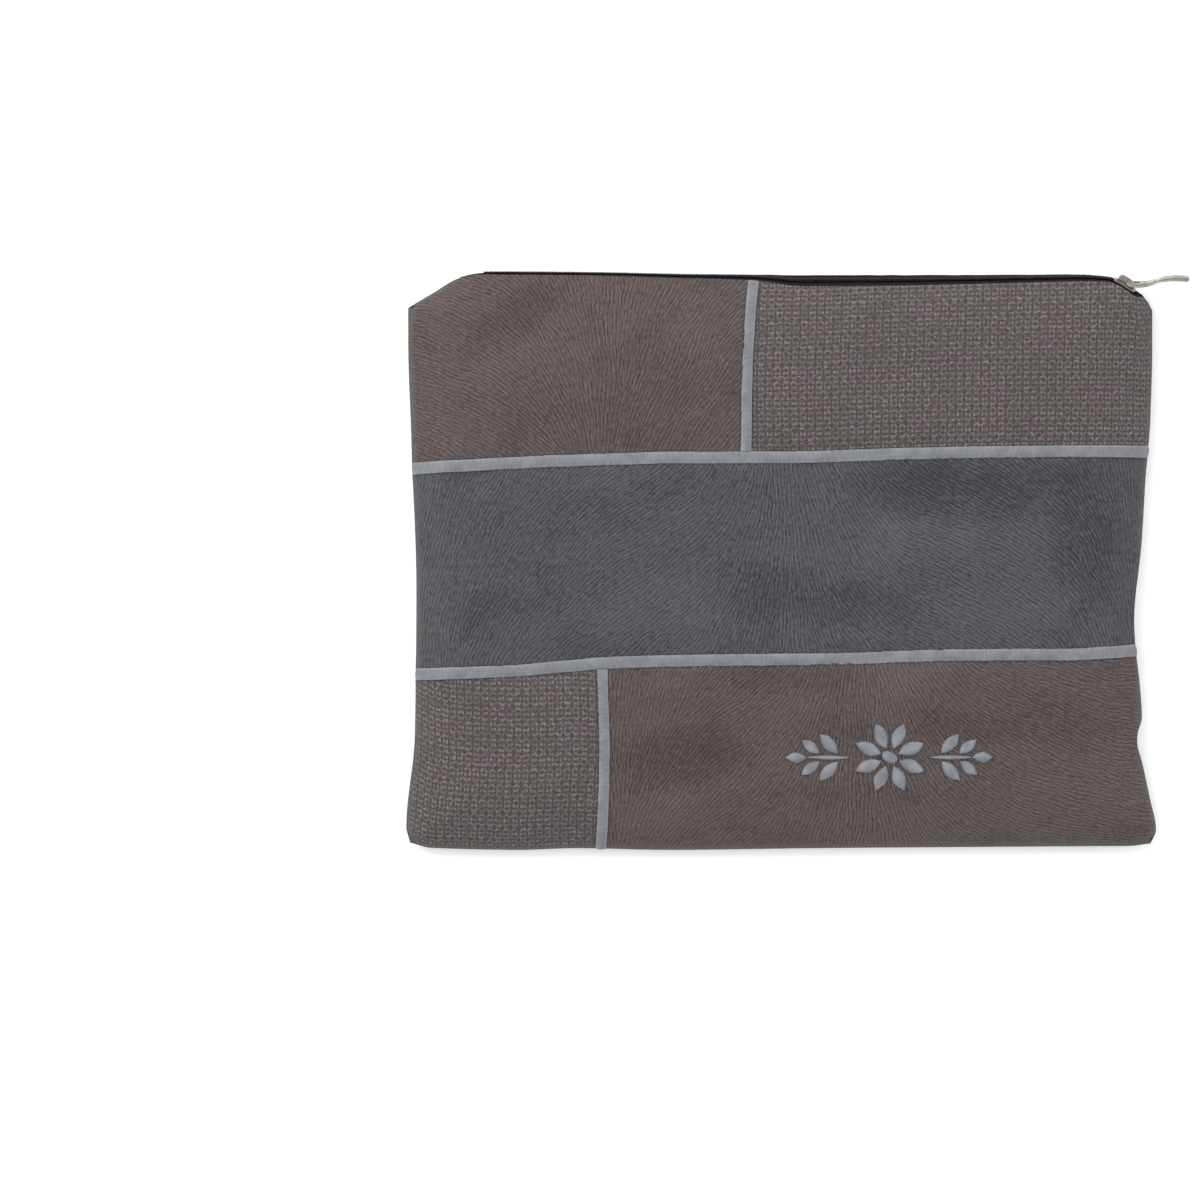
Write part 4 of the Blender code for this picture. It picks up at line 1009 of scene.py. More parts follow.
def painted_rim_shading(finish, height, color):
    """The same colour, with a greenish grey painted where the cloth rolls under: painted rim shading for how light
    falls there.
    """
    low = height.rise(SEAM_HEIGHT, SEAM_HEIGHT + 3.5 * MM, 0.55, 0.0)
    return finish.mix(low, color, (0.112, 0.116, 0.102))


def pressed_suede(name, dark, middle, light, turns, fold_shade_rows):
    """Suede with pressed lines, on a panel that has a cloth UV map."""
    finish = Finish(name, 0.92, sheen_weight=0.1, sheen_roughness=0.5, specular_ior_level=0.15)
    cloth, across, up = finish.place_on(UV_NAME)
    room, x, y, height = finish.place_in_space()
    stops = [((place * MM + REACH) / (2 * REACH), lean / 180) for place, lean in turns]
    lean = finish.ramp((x + REACH) / (2 * REACH), stops) * math.pi
    lean = lean + (finish.noise(room, 26.0, 2.0) - 0.5) * 0.8 + math.pi / 2
    bent = finish.joined(
        across + (finish.noise(cloth, 260.0, 2.0) - 0.5) * 1.1 * MM,
        up + (finish.noise(cloth, 240.0, 2.0, 0.6) - 0.5) * 1.1 * MM,
    )
    sizes = {"Vector": bent, "Scale": LINE_SCALE, "Frequency": LINE_WAVES, "Orientation": lean}
    lines = finish.node("ShaderNodeTexGabor", {}, sizes, "Value")
    sizes = {"Vector": bent, "Scale": HAIR_SCALE, "Frequency": HAIR_WAVES, "Orientation": lean}
    hairs = finish.node("ShaderNodeTexGabor", {}, sizes, "Value")
    nap = finish.noise(cloth, 2600.0, 2.0, 0.6)
    strand = lines.rise(0.40, 0.62) * 0.5 + hairs.rise(0.38, 0.66) * 0.55
    mottle = finish.noise(room, 38.0, 4.0, 0.6, 0.7)
    fleck = finish.noise(cloth, 400.0, 3.0, 0.75)
    # painted shade and light of the folds from the patch rows, plus random mottle and flecks of tone
    shade_and_tone = painted_fold_shade_and_nap(finish, x, y, fold_shade_rows) * 1.25 + (0.5 - mottle) * 2.2 + (0.5 - fleck) * 6.5
    ground = finish.mix((0.5 - shade_and_tone * 0.5).math("ADD", 0.0, clamp=True), dark, middle)
    color = finish.mix(strand * 0.72 * (1.1 - shade_and_tone * 0.35), ground, light)
    color = finish.mix(nap.rise(0.35, 0.65) * 0.3, color, dark)
    # painted rim shading: greenish grey where the cloth rolls under
    color = painted_rim_shading(finish, height, color)
    pressed = lines * 0.55 + hairs * 0.45
    normal = finish.relief(nap, 0.05 * MM, finish.relief(pressed, 0.22 * MM))
    return finish.use(color=color, roughness=0.95 - strand * 0.1, normal=normal)


BROWN = ((0.037, 0.028, 0.026), (0.075, 0.057, 0.054), (0.158, 0.126, 0.120))
SLATE = ((0.025, 0.024, 0.028), (0.063, 0.060, 0.068), (0.130, 0.125, 0.137))
suedes = {
    "upper_left": pressed_suede("brown_suede_top", *BROWN, UPPER_LEFT_TURNS, UPPER_LEFT_FOLD_SHADE),
    "middle": pressed_suede("slate_suede", *SLATE, MIDDLE_TURNS, MIDDLE_FOLD_SHADE),
    "lower_right": pressed_suede("brown_suede_bottom", *BROWN, LOWER_RIGHT_TURNS, LOWER_RIGHT_FOLD_SHADE),
}
for name, material in suedes.items():
    panels[name].data.materials.append(material)
print("suede finishes:", len(suedes), "nodes in one:", len(suedes["middle"].node_tree.nodes))

# %% [markdown]
# ## A coarse loop weave
#
# Two panels are a knit-like weave. Its pattern repeats every 4.0 mm across and
# 7.4 mm up, in three rows: legs that open upwards like a V, legs that close
# again, and straight upright loops, with a dark hole wherever legs part. The
# loops are worked out from the place on the cloth: which row, where across it,
# and how far from the middle of a leg.

# %% The weave
LOOP_ACROSS = 4.0 * MM
LOOP_UP = 2.47 * MM


def loop_weave(name):
    finish = Finish(name, 0.92, sheen_weight=0.08, sheen_roughness=0.5, specular_ior_level=0.15)
    cloth, x, y = finish.place_on(UV_NAME)
    room, _, _, height = finish.place_in_space()
    stray_x = (finish.noise(cloth, 260.0, 2.0) - 0.5) * 0.42
    stray_y = (finish.noise(cloth, 230.0, 2.0, 0.5, 0.4) - 0.5) * 0.55
    cell_x = x / LOOP_ACROSS + stray_x
    cell_y = y / LOOP_UP + stray_y
    row = (cell_y / 3).part() * 3
    slope = 1.0 - row.whole()
    in_x = ((cell_x.part() - 0.5) * 2).size()
    in_y = cell_y.part() - 0.5
    leg = (in_x - 0.5 - in_y * slope * 0.70) / 0.30
    end = in_y / 0.50
    loop = (leg * leg + end * end).rise(0.3, 1.15, 1.0, 0.0)
    floats = (in_x * in_x * 3.0 + (in_y * in_y) * 12.0).rise(0.3, 1.0, 0.65, 0.0)
    thread = loop.most(floats)
    fibre = finish.noise(cloth, 950.0, 2.0, 0.7).rise(0.42, 0.58)
    uneven = finish.noise(cloth, 420.0, 2.0, 0.6).rise(0.3, 0.7)
    drift = finish.noise(finish.joined(x * 34.0, y * 120.0), 1.0, 3.0, 0.6).rise(0.38, 0.62)
    taupe = finish.mix(uneven, (0.180, 0.146, 0.146), (0.350, 0.295, 0.295))
    grey = finish.mix(uneven, (0.165, 0.153, 0.142), (0.325, 0.309, 0.289))
    light = finish.mix(drift, taupe, grey)
    color = finish.mix(thread * (0.32 + uneven * 0.3 + fibre * 0.5), (0.090, 0.073, 0.073), light)
    color = finish.mix(fibre * 0.62, color, (0.042, 0.034, 0.034))
    mottle = finish.noise(room, 30.0, 3.0).rise(0.35, 0.7)
    color = finish.mix(mottle * 0.16, color, (0.05, 0.042, 0.042))
    # painted rim shading: greenish grey where the cloth rolls under
    color = painted_rim_shading(finish, height, color)
    normal = finish.relief(fibre, 0.10 * MM, finish.relief(thread, 0.22 * MM))
    return finish.use(color=color, roughness=0.95 - thread * 0.08, normal=normal)


weave = loop_weave("taupe_loop_weave")
for name in ("upper_right", "lower_left"):
    panels[name].data.materials.append(weave)

# %% [markdown]
# ## Back cloth and ribbon satin
#
# The back is a close plain weave in a dull olive brown: two crossed sets of
# fine ridges. The ribbon is a satin of fine cross ribs, with faint streaks
# across it and a painted sheen that lightens it along its folded edges.

# %% Plain weave and satin
def plain_weave(name, dark, light, pitch):
    finish = Finish(name, 0.92, sheen_weight=0.1, specular_ior_level=0.2)
    cloth, x, y = finish.place_on(UV_NAME)
    turn = 2 * math.pi / pitch
    ridges = (x * turn).sine() * (y * turn).sine()
    fibre = finish.noise(cloth, 2200.0, 3.0, 0.6)
    broad = finish.noise(cloth, 45.0, 3.0)
    share = ridges * 0.28 + fibre * 0.6 + broad * 0.5 - 0.3
    normal = finish.relief(fibre, 0.04 * MM, finish.relief(ridges, 0.12 * MM))
    return finish.use(color=finish.mix(share.rise(0.0, 1.0), dark, light), normal=normal)


def ribbon_satin(name, width):
    finish = Finish(name, 0.5, sheen_weight=0.1, sheen_roughness=0.4, specular_ior_level=0.35)
    cloth, along, aside = finish.place_on(UV_NAME)
    ribs = (along * (2 * math.pi / (0.62 * MM))).sine()
    streak = finish.noise(finish.joined(along * 1500.0, aside * 130.0), 1.0, 3.0, 0.6)
    broad = finish.noise(finish.joined(along * 95.0, aside * 160.0), 1.0, 2.0)
    # painted sheen: the folded edges are painted lighter
    edge = (aside / (width / 2)).size().rise(0.45, 0.95)
    share = streak.rise(0.25, 0.75) * 0.5 + broad.rise(0.3, 0.7) * 0.3 + edge * 0.25 + ribs * 0.05
    color = finish.mix(share, (0.126, 0.129, 0.148), (0.268, 0.275, 0.303))
    normal = finish.relief(streak, 0.10 * MM, finish.relief(ribs, 0.05 * MM))
    return finish.use(color=color, roughness=0.42 + streak * 0.2, normal=normal)


back_cloth.data.materials.append(
    plain_weave("olive_plain_weave", (0.030, 0.026, 0.021), (0.095, 0.085, 0.068), 1.1 * MM)
)
cross_satin = ribbon_satin("cross_ribbon_satin", CROSS_RIBBON_WIDTH)
upright_satin = ribbon_satin("upright_ribbon_satin", UPRIGHT_RIBBON_WIDTH)
for node, piece in ribbons.items():
    piece.data.materials.append(upright_satin if "upright" in node else cross_satin)
print("cloth finishes done")

# %% [markdown]
# ## The zip: tapes and coil
#
# The zip is a nylon coil on woven tape, in a near black aubergine. The tapes
# are thin woven strips between the coil and the cloth, and each has a sewn
# edge. The coil is two rows of small bent loops that lock in the middle, 1.3 mm
# apart. A loop is made once and repeated along the zip's own line by Geometry
# Nodes.

# %% The line of the zip
ZIP_START = -0.862
CHAIN_START = -0.80
CHAIN_WIDTH = 4.0 * MM
CHAIN_THICKNESS = 1.6 * MM
CHAIN_PROUD = 0.3 * MM
TAPE_THICKNESS = 0.8 * MM
SLIDER_LENGTH = 11.5 * MM
ZIP_END = 0.975
CHAIN_END = SLIDER_END - (SLIDER_END - SLIDER_START) * 3.8 * MM / SLIDER_LENGTH


def band_edges(u):
    """Back edge and front edge of the zip band."""
    low = plan(u, 1.0)
    high = low - top_out(u) * band_show(u)[..., None]
    low[..., 2] = back_rim(u)
    high[..., 2] = front_rim(u)
    return low, high


def zip_frames(u):
    """Middle, across, out and half width of the zip band, at many places."""
    u = np.asarray(u, float)
    low, high = band_edges(u)
    low_a, high_a = band_edges(np.array([SLIDER_START]))
    low_b, high_b = band_edges(np.array([SLIDER_END]))
    part = np.clip((u - SLIDER_START) / (SLIDER_END - SLIDER_START), 0, 1)[:, None]
    beside = (u > SLIDER_START)[:, None] & (u < SLIDER_END)[:, None]
    low = np.where(beside, low_a + (low_b - low_a) * part, low)
    high = np.where(beside, high_a + (high_b - high_a) * part, high)
    across = high - low
    width = np.linalg.norm(across, axis=1, keepdims=True)
    return (low + high) / 2, across / width, top_out(u), width[:, 0] / 2


def zip_tape(name, side, places):
    """One half of the tape, with a rolled edge where it is sewn in."""
    middle, across, out, half = zip_frames(places)
    has_chain = (places >= CHAIN_START) & (places <= SLIDER_END)
    inner = np.where(has_chain, CHAIN_WIDTH / 2 * 0.62, 0.15 * MM)
    outer = np.maximum(half - 0.1 * MM, inner + 0.35 * MM)
    along = np.concatenate([[0], np.cumsum(np.linalg.norm(np.diff(middle, axis=0), axis=1))])
    section = [
        (0.00, -0.35), (0.25, -0.12), (0.60, 0.0), (0.85, 0.04), (0.97, -0.10),
        (1.00, -0.45), (0.97, -0.85), (0.60, -1.0), (0.20, -1.0), (0.00, -0.80),
    ]
    rings, uvs = [], []
    for share, depth in section:
        aside = inner + (outer - inner) * share
        wave = soft_noise(np.stack([along, aside], -1), 6 * MM, 61) * 0.12 * MM * share
        rings.append(middle + across * (side * aside)[:, None] + out * (depth * TAPE_THICKNESS + wave)[:, None])
        uvs.append(np.stack([along, aside], -1))
    return tube(name, np.stack(rings, 1), np.stack(uvs, 1))


tape_places = np.concatenate([
    np.linspace(ZIP_START, CHAIN_START, 9)[:-1], [CHAIN_START - 1e-4],
    np.linspace(CHAIN_START, SLIDER_END, 260), [SLIDER_END + 1e-4, ZIP_END - 0.004, ZIP_END],
])
tapes = {
    "zip_tape_front": zip_tape("front_tape_cloth", 1, tape_places),
    "zip_tape_back": zip_tape("back_tape_cloth", -1, tape_places),
}
print("tape triangles:", len(tapes["zip_tape_front"].data.polygons) * 2)

# %% A coil loop, made once
COIL_PITCH = 1.3 * MM
COIL_WIRE = 0.62 * MM


def wire(name, path, radius, sides=6):
    """A bent round wire along a few points."""
    path = [Vector(p) for p in path]
    rings = []
    for number, point in enumerate(path):
        before = path[max(number - 1, 0)]
        after = path[min(number + 1, len(path) - 1)]
        along = (after - before).normalized()
        turn = along.to_track_quat("Z", "Y").to_matrix()
        thin = 0.55 if number in (0, len(path) - 1) else 1.0
        rings.append([
            tuple(point + turn @ Vector((math.cos(a), math.sin(a), 0)) * radius * thin)
            for a in (2 * math.pi * k / sides for k in range(sides))
        ])
    return tube(name, rings)


# Along the zip, across it and out of it, in mm: one loop from its foot on the
# tape over to the middle and back underneath
LOOP_PATH = [
    (-0.18, 1.95, -0.55), (-0.20, 1.75, 0.02), (-0.16, 1.10, 0.16), (-0.10, 0.30, 0.18),
    (-0.02, -0.22, 0.06), (0.04, -0.38, -0.28), (0.12, -0.22, -0.62), (0.22, 0.30, -0.78),
    (0.30, 1.20, -0.78), (0.34, 1.80, -0.62),
]
coil_loop = wire("coil_loop", [(x * MM, y * MM, z * MM) for x, y, z in LOOP_PATH], COIL_WIRE / 2)
print("faces in one loop:", len(coil_loop.data.polygons))

# %% [markdown]
# ## Repeating a piece along a line
#
# Coil loops, stitches and satin threads all repeat one small shape along a
# line. One Geometry Nodes tree does it: every point of a mesh carries the turn
# of its copy as an attribute, a copy is set on each point, and a touch of
# random size keeps them from looking stamped. The copies are made real, and
# the modifier's result replaces it.

# %% A tree that puts copies on points
def copies_tree():
    tree = bpy.data.node_groups.new("copies_on_points", "GeometryNodeTree")
    sockets = tree.interface
    sockets.new_socket("Points", in_out="INPUT", socket_type="NodeSocketGeometry")
    sockets.new_socket("Shape", in_out="INPUT", socket_type="NodeSocketObject")
    sockets.new_socket("Finish", in_out="INPUT", socket_type="NodeSocketMaterial")
    sockets.new_socket("Unevenness", in_out="INPUT", socket_type="NodeSocketFloat")
    sockets.new_socket("Seed", in_out="INPUT", socket_type="NodeSocketInt")
    sockets.new_socket("Copies", in_out="OUTPUT", socket_type="NodeSocketGeometry")
    start = tree.nodes.new("NodeGroupInput")
    shape = tree.nodes.new("GeometryNodeObjectInfo")
    turn = tree.nodes.new("GeometryNodeInputNamedAttribute")
    turn.data_type = "QUATERNION"
    turn.inputs["Name"].default_value = "turn"
    size = tree.nodes.new("GeometryNodeInputNamedAttribute")
    size.data_type = "FLOAT_VECTOR"
    size.inputs["Name"].default_value = "size"
    chance = tree.nodes.new("FunctionNodeRandomValue")
    chance.data_type = "FLOAT"
    chance.inputs[2].default_value = -1.0
    chance.inputs[3].default_value = 1.0
    times = tree.nodes.new("ShaderNodeMath")
    times.operation = "MULTIPLY_ADD"
    times.inputs[2].default_value = 1.0
    scale = tree.nodes.new("ShaderNodeVectorMath")
    scale.operation = "SCALE"
    put = tree.nodes.new("GeometryNodeInstanceOnPoints")
    real = tree.nodes.new("GeometryNodeRealizeInstances")
    paint = tree.nodes.new("GeometryNodeSetMaterial")
    end = tree.nodes.new("NodeGroupOutput")
    link = tree.links.new
    link(start.outputs["Shape"], shape.inputs["Object"])
    link(start.outputs["Points"], put.inputs["Points"])
    link(shape.outputs["Geometry"], put.inputs["Instance"])
    link(turn.outputs["Attribute"], put.inputs["Rotation"])
    link(start.outputs["Seed"], chance.inputs["Seed"])
    link(chance.outputs[1], times.inputs[0])
    link(start.outputs["Unevenness"], times.inputs[1])
    link(size.outputs["Attribute"], scale.inputs[0])
    link(times.outputs[0], scale.inputs["Scale"])
    link(scale.outputs[0], put.inputs["Scale"])
    link(put.outputs["Instances"], real.inputs["Geometry"])
    link(real.outputs["Geometry"], paint.inputs["Geometry"])
    link(start.outputs["Finish"], paint.inputs["Material"])
    link(paint.outputs["Geometry"], end.inputs["Copies"])
    return tree


COPIES = copies_tree()


def copies(name, shape, material, points, along, across, sizes, unevenness, seed):
    """Copies of a shape: its X lies along, its Y across, and sizes scale it."""
    carrier = mesh_object(f"{name}_points", np.asarray(points), [])
    turns, scales = [], []
    for forward, aside in zip(along, across):
        forward = Vector(forward).normalized()
        up = forward.cross(Vector(aside)).normalized()
        turns.append(Matrix((forward, up.cross(forward), up)).transposed().to_quaternion())
    turn = carrier.data.attributes.new("turn", "QUATERNION", "POINT")
    turn.data.foreach_set("value", np.array([list(q) for q in turns], np.float32).ravel())
    size = carrier.data.attributes.new("size", "FLOAT_VECTOR", "POINT")
    size.data.foreach_set("vector", np.broadcast_to(sizes, (len(turns), 3)).astype(np.float32).ravel())
    change = carrier.modifiers.new("copies", "NODES")
    change.node_group = COPIES
    values = {"Shape": shape, "Finish": material, "Unevenness": unevenness, "Seed": seed}
    for item in COPIES.interface.items_tree:
        if item.in_out == "INPUT" and item.name in values:
            change[item.identifier] = values[item.name]
    graph = bpy.context.evaluated_depsgraph_get()
    mesh = bpy.data.meshes.new_from_object(carrier.evaluated_get(graph))
    bpy.data.objects.remove(carrier, do_unlink=True)
    for name_left in ("turn", "size"):
        if name_left in mesh.attributes:
            mesh.attributes.remove(mesh.attributes[name_left])
    mesh.shade_smooth()
    made = bpy.data.objects.new(name, mesh)
    bpy.context.scene.collection.objects.link(made)
    print(name, "copies:", len(turns), "faces:", len(mesh.polygons))
    return made


# %% The coil, the tape's weave and its stitches
def zip_weave(name):
    """Ribbed tape: fine slanted ribs, with a painted highlight that makes their crests a little lighter."""
    finish = Finish(name, 0.92, specular_ior_level=0.08)
    cloth, along, aside = finish.place_on(UV_NAME)
    slant = (aside / (0.9 * MM)).part() - 0.5
    ribs = (along * (2 * math.pi / (0.55 * MM)) + slant.size() * 6.0).sine()
    fibre = finish.noise(cloth, 2500.0, 2.0, 0.6)
    # the ribs' share paints their crests lighter: a painted highlight
    share = ribs * 0.25 + fibre * 0.8
    color = finish.mix(share.rise(0.1, 0.9), (0.006, 0.004, 0.006), (0.024, 0.015, 0.023))
    return finish.use(color=color, normal=finish.relief(ribs * 0.5 + fibre * 0.5, 0.09 * MM))


def coil_nylon(name, dark, light):
    finish = Finish(name, 0.5, specular_ior_level=0.2)
    room, *_ = finish.place_in_space()
    rub = finish.noise(room, 420.0, 2.0)
    scratch = finish.noise(room, 3000.0, 2.0)
    color = finish.mix(rub.rise(0.35, 0.7), dark, light)
    return finish.use(color=color, roughness=0.42 + rub * 0.25, normal=finish.relief(scratch, 0.02 * MM))


tape_finish = zip_weave("aubergine_tape")
for piece in tapes.values():
    piece.data.materials.append(tape_finish)
nylon = coil_nylon("aubergine_nylon", (0.008, 0.005, 0.008), (0.030, 0.014, 0.026))

chain_line = np.linspace(CHAIN_START, CHAIN_END, 1200)
chain_middle, chain_across, chain_out, _ = zip_frames(chain_line)
run = np.concatenate([[0], np.cumsum(np.linalg.norm(np.diff(chain_middle, axis=0), axis=1))])


def chain_points(offset, pitch, aside, rise):
    """Points along the zip, a pitch apart, with their directions."""
    stops = np.arange(offset, run[-1] - pitch * 0.4, pitch)
    place = np.interp(stops, run, chain_line)
    middle, across, out, _ = zip_frames(place)
    ahead, *_ = zip_frames(np.minimum(place + 0.002, CHAIN_END + 0.004))
    behind, *_ = zip_frames(place - 0.002)
    return middle + across * aside + out * rise, ahead - behind, across, out


coil_rows = []
for side, offset in ((1, 0.0), (-1, COIL_PITCH / 2)):
    points, along, across, out = chain_points(COIL_PITCH * 0.6 + offset, COIL_PITCH, 0.0, CHAIN_PROUD - 0.25 * MM)
    coil_rows.append(copies(
        f"coil_row_{'front' if side > 0 else 'back'}", coil_loop, nylon, points, along * side,
        across * side, (1, 1, 1), 0.03, 5 + side,
    ))
bpy.data.objects.remove(coil_loop, do_unlink=True)

# %% [markdown]
# ## Slider and pull
#
# The slider is two rounded plates around the coil, a post between them and a
# closed arched bridge with ridges along its sides and a window for the pull. The pull is a cast strip with a
# soft wave, an eye for the bridge, a groove down its middle and a squared end.
# Each is swept or extruded from a short outline, joined or cut with an exact
# boolean, and its edges are rounded with a bevel before the result is kept as
# a plain mesh.

# %% Shapes for the metal parts
PLATE_OUTLINE = [
    (-1.00, -0.55), (-0.93, -0.70), (-0.78, -0.78), (-0.10, -0.84), (0.12, -0.94), (0.32, -1.00),
    (0.74, -1.00), (0.90, -0.92), (0.99, -0.70), (1.00, 0.0),
]
BRIDGE_ARCH = [
    (-1.00, -0.12), (-1.00, 0.20), (-0.98, 0.55), (-0.91, 0.78), (-0.78, 0.91), (-0.60, 0.98), (-0.35, 1.00),
    (-0.10, 1.00), (0.13, 0.98), (0.35, 0.94), (0.53, 0.88), (0.68, 0.80), (0.80, 0.69), (0.90, 0.54),
    (0.97, 0.34), (1.00, 0.12), (1.00, -0.12),
]
# Pull from its eye to its end: share of length, width, thickness and wave
PULL_STATIONS = [
    (0.000, 0.94, 0.60, 0.00), (0.016, 1.00, 0.68, 0.00), (0.055, 1.00, 0.78, -0.02),
    (0.130, 1.00, 0.92, -0.30), (0.200, 1.00, 1.00, -0.50), (0.280, 0.98, 1.00, -0.55),
    (0.370, 0.96, 1.00, -0.25), (0.460, 0.95, 1.00, 0.30), (0.550, 0.95, 1.00, 0.80),
    (0.640, 0.95, 1.00, 1.00), (0.740, 0.95, 1.00, 0.95), (0.850, 0.95, 1.00, 0.65),
    (0.960, 0.93, 1.00, 0.20), (1.000, 0.78, 0.60, 0.00),
]
SLIDER_WIDTH = 7.2 * MM
SLIDER_PLATE = 0.9 * MM
SLIDER_GAP = 2.3 * MM
BRIDGE_LENGTH = 9.0 * MM
BRIDGE_WIDTH = 2.8 * MM
BRIDGE_HEIGHT = 3.6 * MM
BRIDGE_BAR = 1.1 * MM
PULL_LENGTH = 29 * MM
PULL_WIDTH = 5.2 * MM
PULL_THICKNESS = 2.2 * MM
PULL_WAVE = 1.1 * MM
PULL_SLACK = 0.4 * MM
EYE_LENGTH = 5.0 * MM
EYE_BAR = 1.2 * MM
PULL_REST = math.radians(35)


def slider_turn():
    """The slider's own frame: along the zip, out of it, and across."""
    low_a, high_a = band_edges(np.array([SLIDER_START]))
    low_b, high_b = band_edges(np.array([SLIDER_END]))
    start, end = Vector((low_a + high_a)[0] / 2), Vector((low_b + high_b)[0] / 2)
    along = (end - start).normalized()
    across = Vector((high_a - low_a + high_b - low_b)[0]).normalized()
    across = (across - along * across.dot(along)).normalized()
    out = across.cross(along).normalized()
    if out.y < 0:
        out = -out
    turn = Matrix((along, out, across)).transposed().to_4x4()
    turn.translation = (start + end) / 2 + out * (CHAIN_PROUD - CHAIN_THICKNESS / 2)
    return turn


def prism(name, outline, low, high, place):
    """An outline made thick: place(a, b, level) turns it to a point."""
    rings = [[place(a, b, level) for a, b in outline] for level in (low, high)]
    return tube(name, rings)


def applied(piece):
    """The piece with its modifiers' result as a plain mesh."""
    graph = bpy.context.evaluated_depsgraph_get()
    mesh = bpy.data.meshes.new_from_object(piece.evaluated_get(graph))
    piece.modifiers.clear()
    piece.data = mesh
    return piece


def with_boolean(piece, others, operation):
    for other in others:
        change = piece.modifiers.new("Boolean", "BOOLEAN")
        change.operation = operation
        change.solver = "EXACT"
        change.object = other
    applied(piece)
    for other in others:
        bpy.data.objects.remove(other, do_unlink=True)
    return piece


def rounded(piece, width):
    """Rounded edges, with the result kept as a plain mesh."""
    bevel = piece.modifiers.new("Bevel", "BEVEL")
    bevel.width = width
    bevel.segments = 3
    bevel.limit_method = "ANGLE"
    bevel.angle_limit = math.radians(35)
    bevel.harden_normals = False
    applied(piece)
    piece.data.shade_smooth()
    piece.data.set_sharp_from_angle(angle=math.radians(50))
    return piece


def flat(a, b, level):
    return (a, level, b)


def upright(a, b, level):
    return (a, b, level)


# %% The slider
half = SLIDER_LENGTH / 2
gap = SLIDER_GAP / 2
right_side = [(a * half, b * SLIDER_WIDTH / 2) for a, b in PLATE_OUTLINE]
plate_outline = right_side + [(a, -b) for a, b in right_side[-2::-1]]
slider = prism("slider_body", plate_outline, gap, gap + SLIDER_PLATE, flat)
lower_plate = prism("lower_plate", plate_outline, -gap - SLIDER_PLATE, -gap, flat)
post = prism(
    "post", [(half - 2.6 * MM, 0), (half - 1.7 * MM, -1.1 * MM), (half - 0.2 * MM, -1.1 * MM),
             (half - 0.2 * MM, 1.1 * MM), (half - 1.7 * MM, 1.1 * MM)],
    -gap - 0.3 * MM, gap + 0.3 * MM, flat,
)
foot = gap + SLIDER_PLATE
arch_x = np.array([a for a, b in BRIDGE_ARCH[1:-1]])
arch_top = np.array([b for a, b in BRIDGE_ARCH[1:-1]])
bridge_rings = []
for share in np.sin(np.linspace(-0.5, 0.5, 25) * math.pi):
    top = max(float(np.interp(share, arch_x, arch_top)), 0.12) * BRIDGE_HEIGHT
    right = []
    for step in range(17):
        up = step / 16
        ridge = 0.32 * MM * (abs(math.cos(up * 2.5 * math.pi)) ** 0.7 - 0.75)
        narrow = 1 - 0.55 * max(up - 0.62, 0) ** 1.5 / 0.38**1.5
        right.append((up, (BRIDGE_WIDTH / 2 + ridge) * narrow))
    level = [foot - 0.3 * MM + (top + 0.3 * MM) * up for up, _ in right]
    ring = [(share * BRIDGE_LENGTH / 2, z, aside) for z, (_, aside) in zip(level, right)]
    ring += [(share * BRIDGE_LENGTH / 2, z, -aside) for z, (_, aside) in zip(level[::-1], right[::-1])]
    bridge_rings.append(ring)
bridge = tube("bridge", bridge_rings)
hinge_x, hinge_y = 1.8 * MM, 3.0 * MM
WINDOW_REACH = 1.26 * MM
window_outline = [
    (hinge_x + WINDOW_REACH * math.cos(a), hinge_y + WINDOW_REACH * math.sin(a))
    for a in np.linspace(math.radians(80), math.radians(270), 12)
]
window_outline += [(3.4 * MM, hinge_y - WINDOW_REACH), (3.4 * MM, foot + 1.5 * MM), (2.8 * MM, foot + 1.85 * MM)]
window = prism("window", window_outline, -4 * MM, 4 * MM, upright)
with_boolean(bridge, [window], "DIFFERENCE")
with_boolean(slider, [lower_plate, post, bridge], "UNION")
rounded(slider, 0.22 * MM)
SLIDER_TURN = slider_turn()
slider.data.transform(SLIDER_TURN)
print("slider faces:", len(slider.data.polygons))

# %% The pull
PULL_ROWS = 56
reach = PULL_LENGTH + EYE_BAR / 2
stations = np.linspace(0, 1, PULL_ROWS)
stations = np.concatenate([[0, 0.006], stations[1:-1], [0.994, 1.0]])
widths = through(PULL_STATIONS, 1, stations) * PULL_WIDTH / 2
thicks = through(PULL_STATIONS, 2, stations) * PULL_THICKNESS / 2
waves = through(PULL_STATIONS, 3, stations) * PULL_WAVE
# One half of the section: share of the half width, share of the half
# thickness, and how much of the groove's depth
PULL_SECTION = [
    (0.00, 1.0, 1.0), (0.16, 1.0, 1.0), (0.24, 1.0, 0.75), (0.31, 1.0, 0.1), (0.36, 1.0, 0.0),
    (0.62, 1.0, 0.0), (0.84, 0.98, 0.0), (0.95, 0.88, 0.0), (1.00, 0.66, 0.0), (0.985, 0.42, 0.0),
    (0.92, 0.24, 0.0), (0.90, 0.0, 0.0),
]
GROOVE = 0.45 * MM
pull_rings = []
for share, width, thick, wave in zip(stations, widths, thicks, waves):
    x = share * reach - EYE_BAR / 2
    groove = GROOVE * float(soft_step(x, EYE_LENGTH + 1.2 * MM, EYE_LENGTH + 3 * MM))
    groove *= 1 - float(soft_step(x, reach - 4.2 * MM, reach - 2.6 * MM))
    crown = 1 + 0.06 * math.sin(share * 9)
    quarter = [(a * width, b * thick * crown - g * groove) for a, b, g in PULL_SECTION]
    ring = [(x, wave + up, aside) for aside, up in quarter]
    ring += [(x, wave - up, aside) for aside, up in quarter[-2::-1]]
    ring += [(x, wave - up, -aside) for aside, up in quarter[1:]]
    ring += [(x, wave + up, -aside) for aside, up in quarter[-2:0:-1]]
    pull_rings.append(ring)
pull = tube("zip_pull_cast", pull_rings)
half = BRIDGE_WIDTH / 2 + PULL_SLACK
eye_outline = []
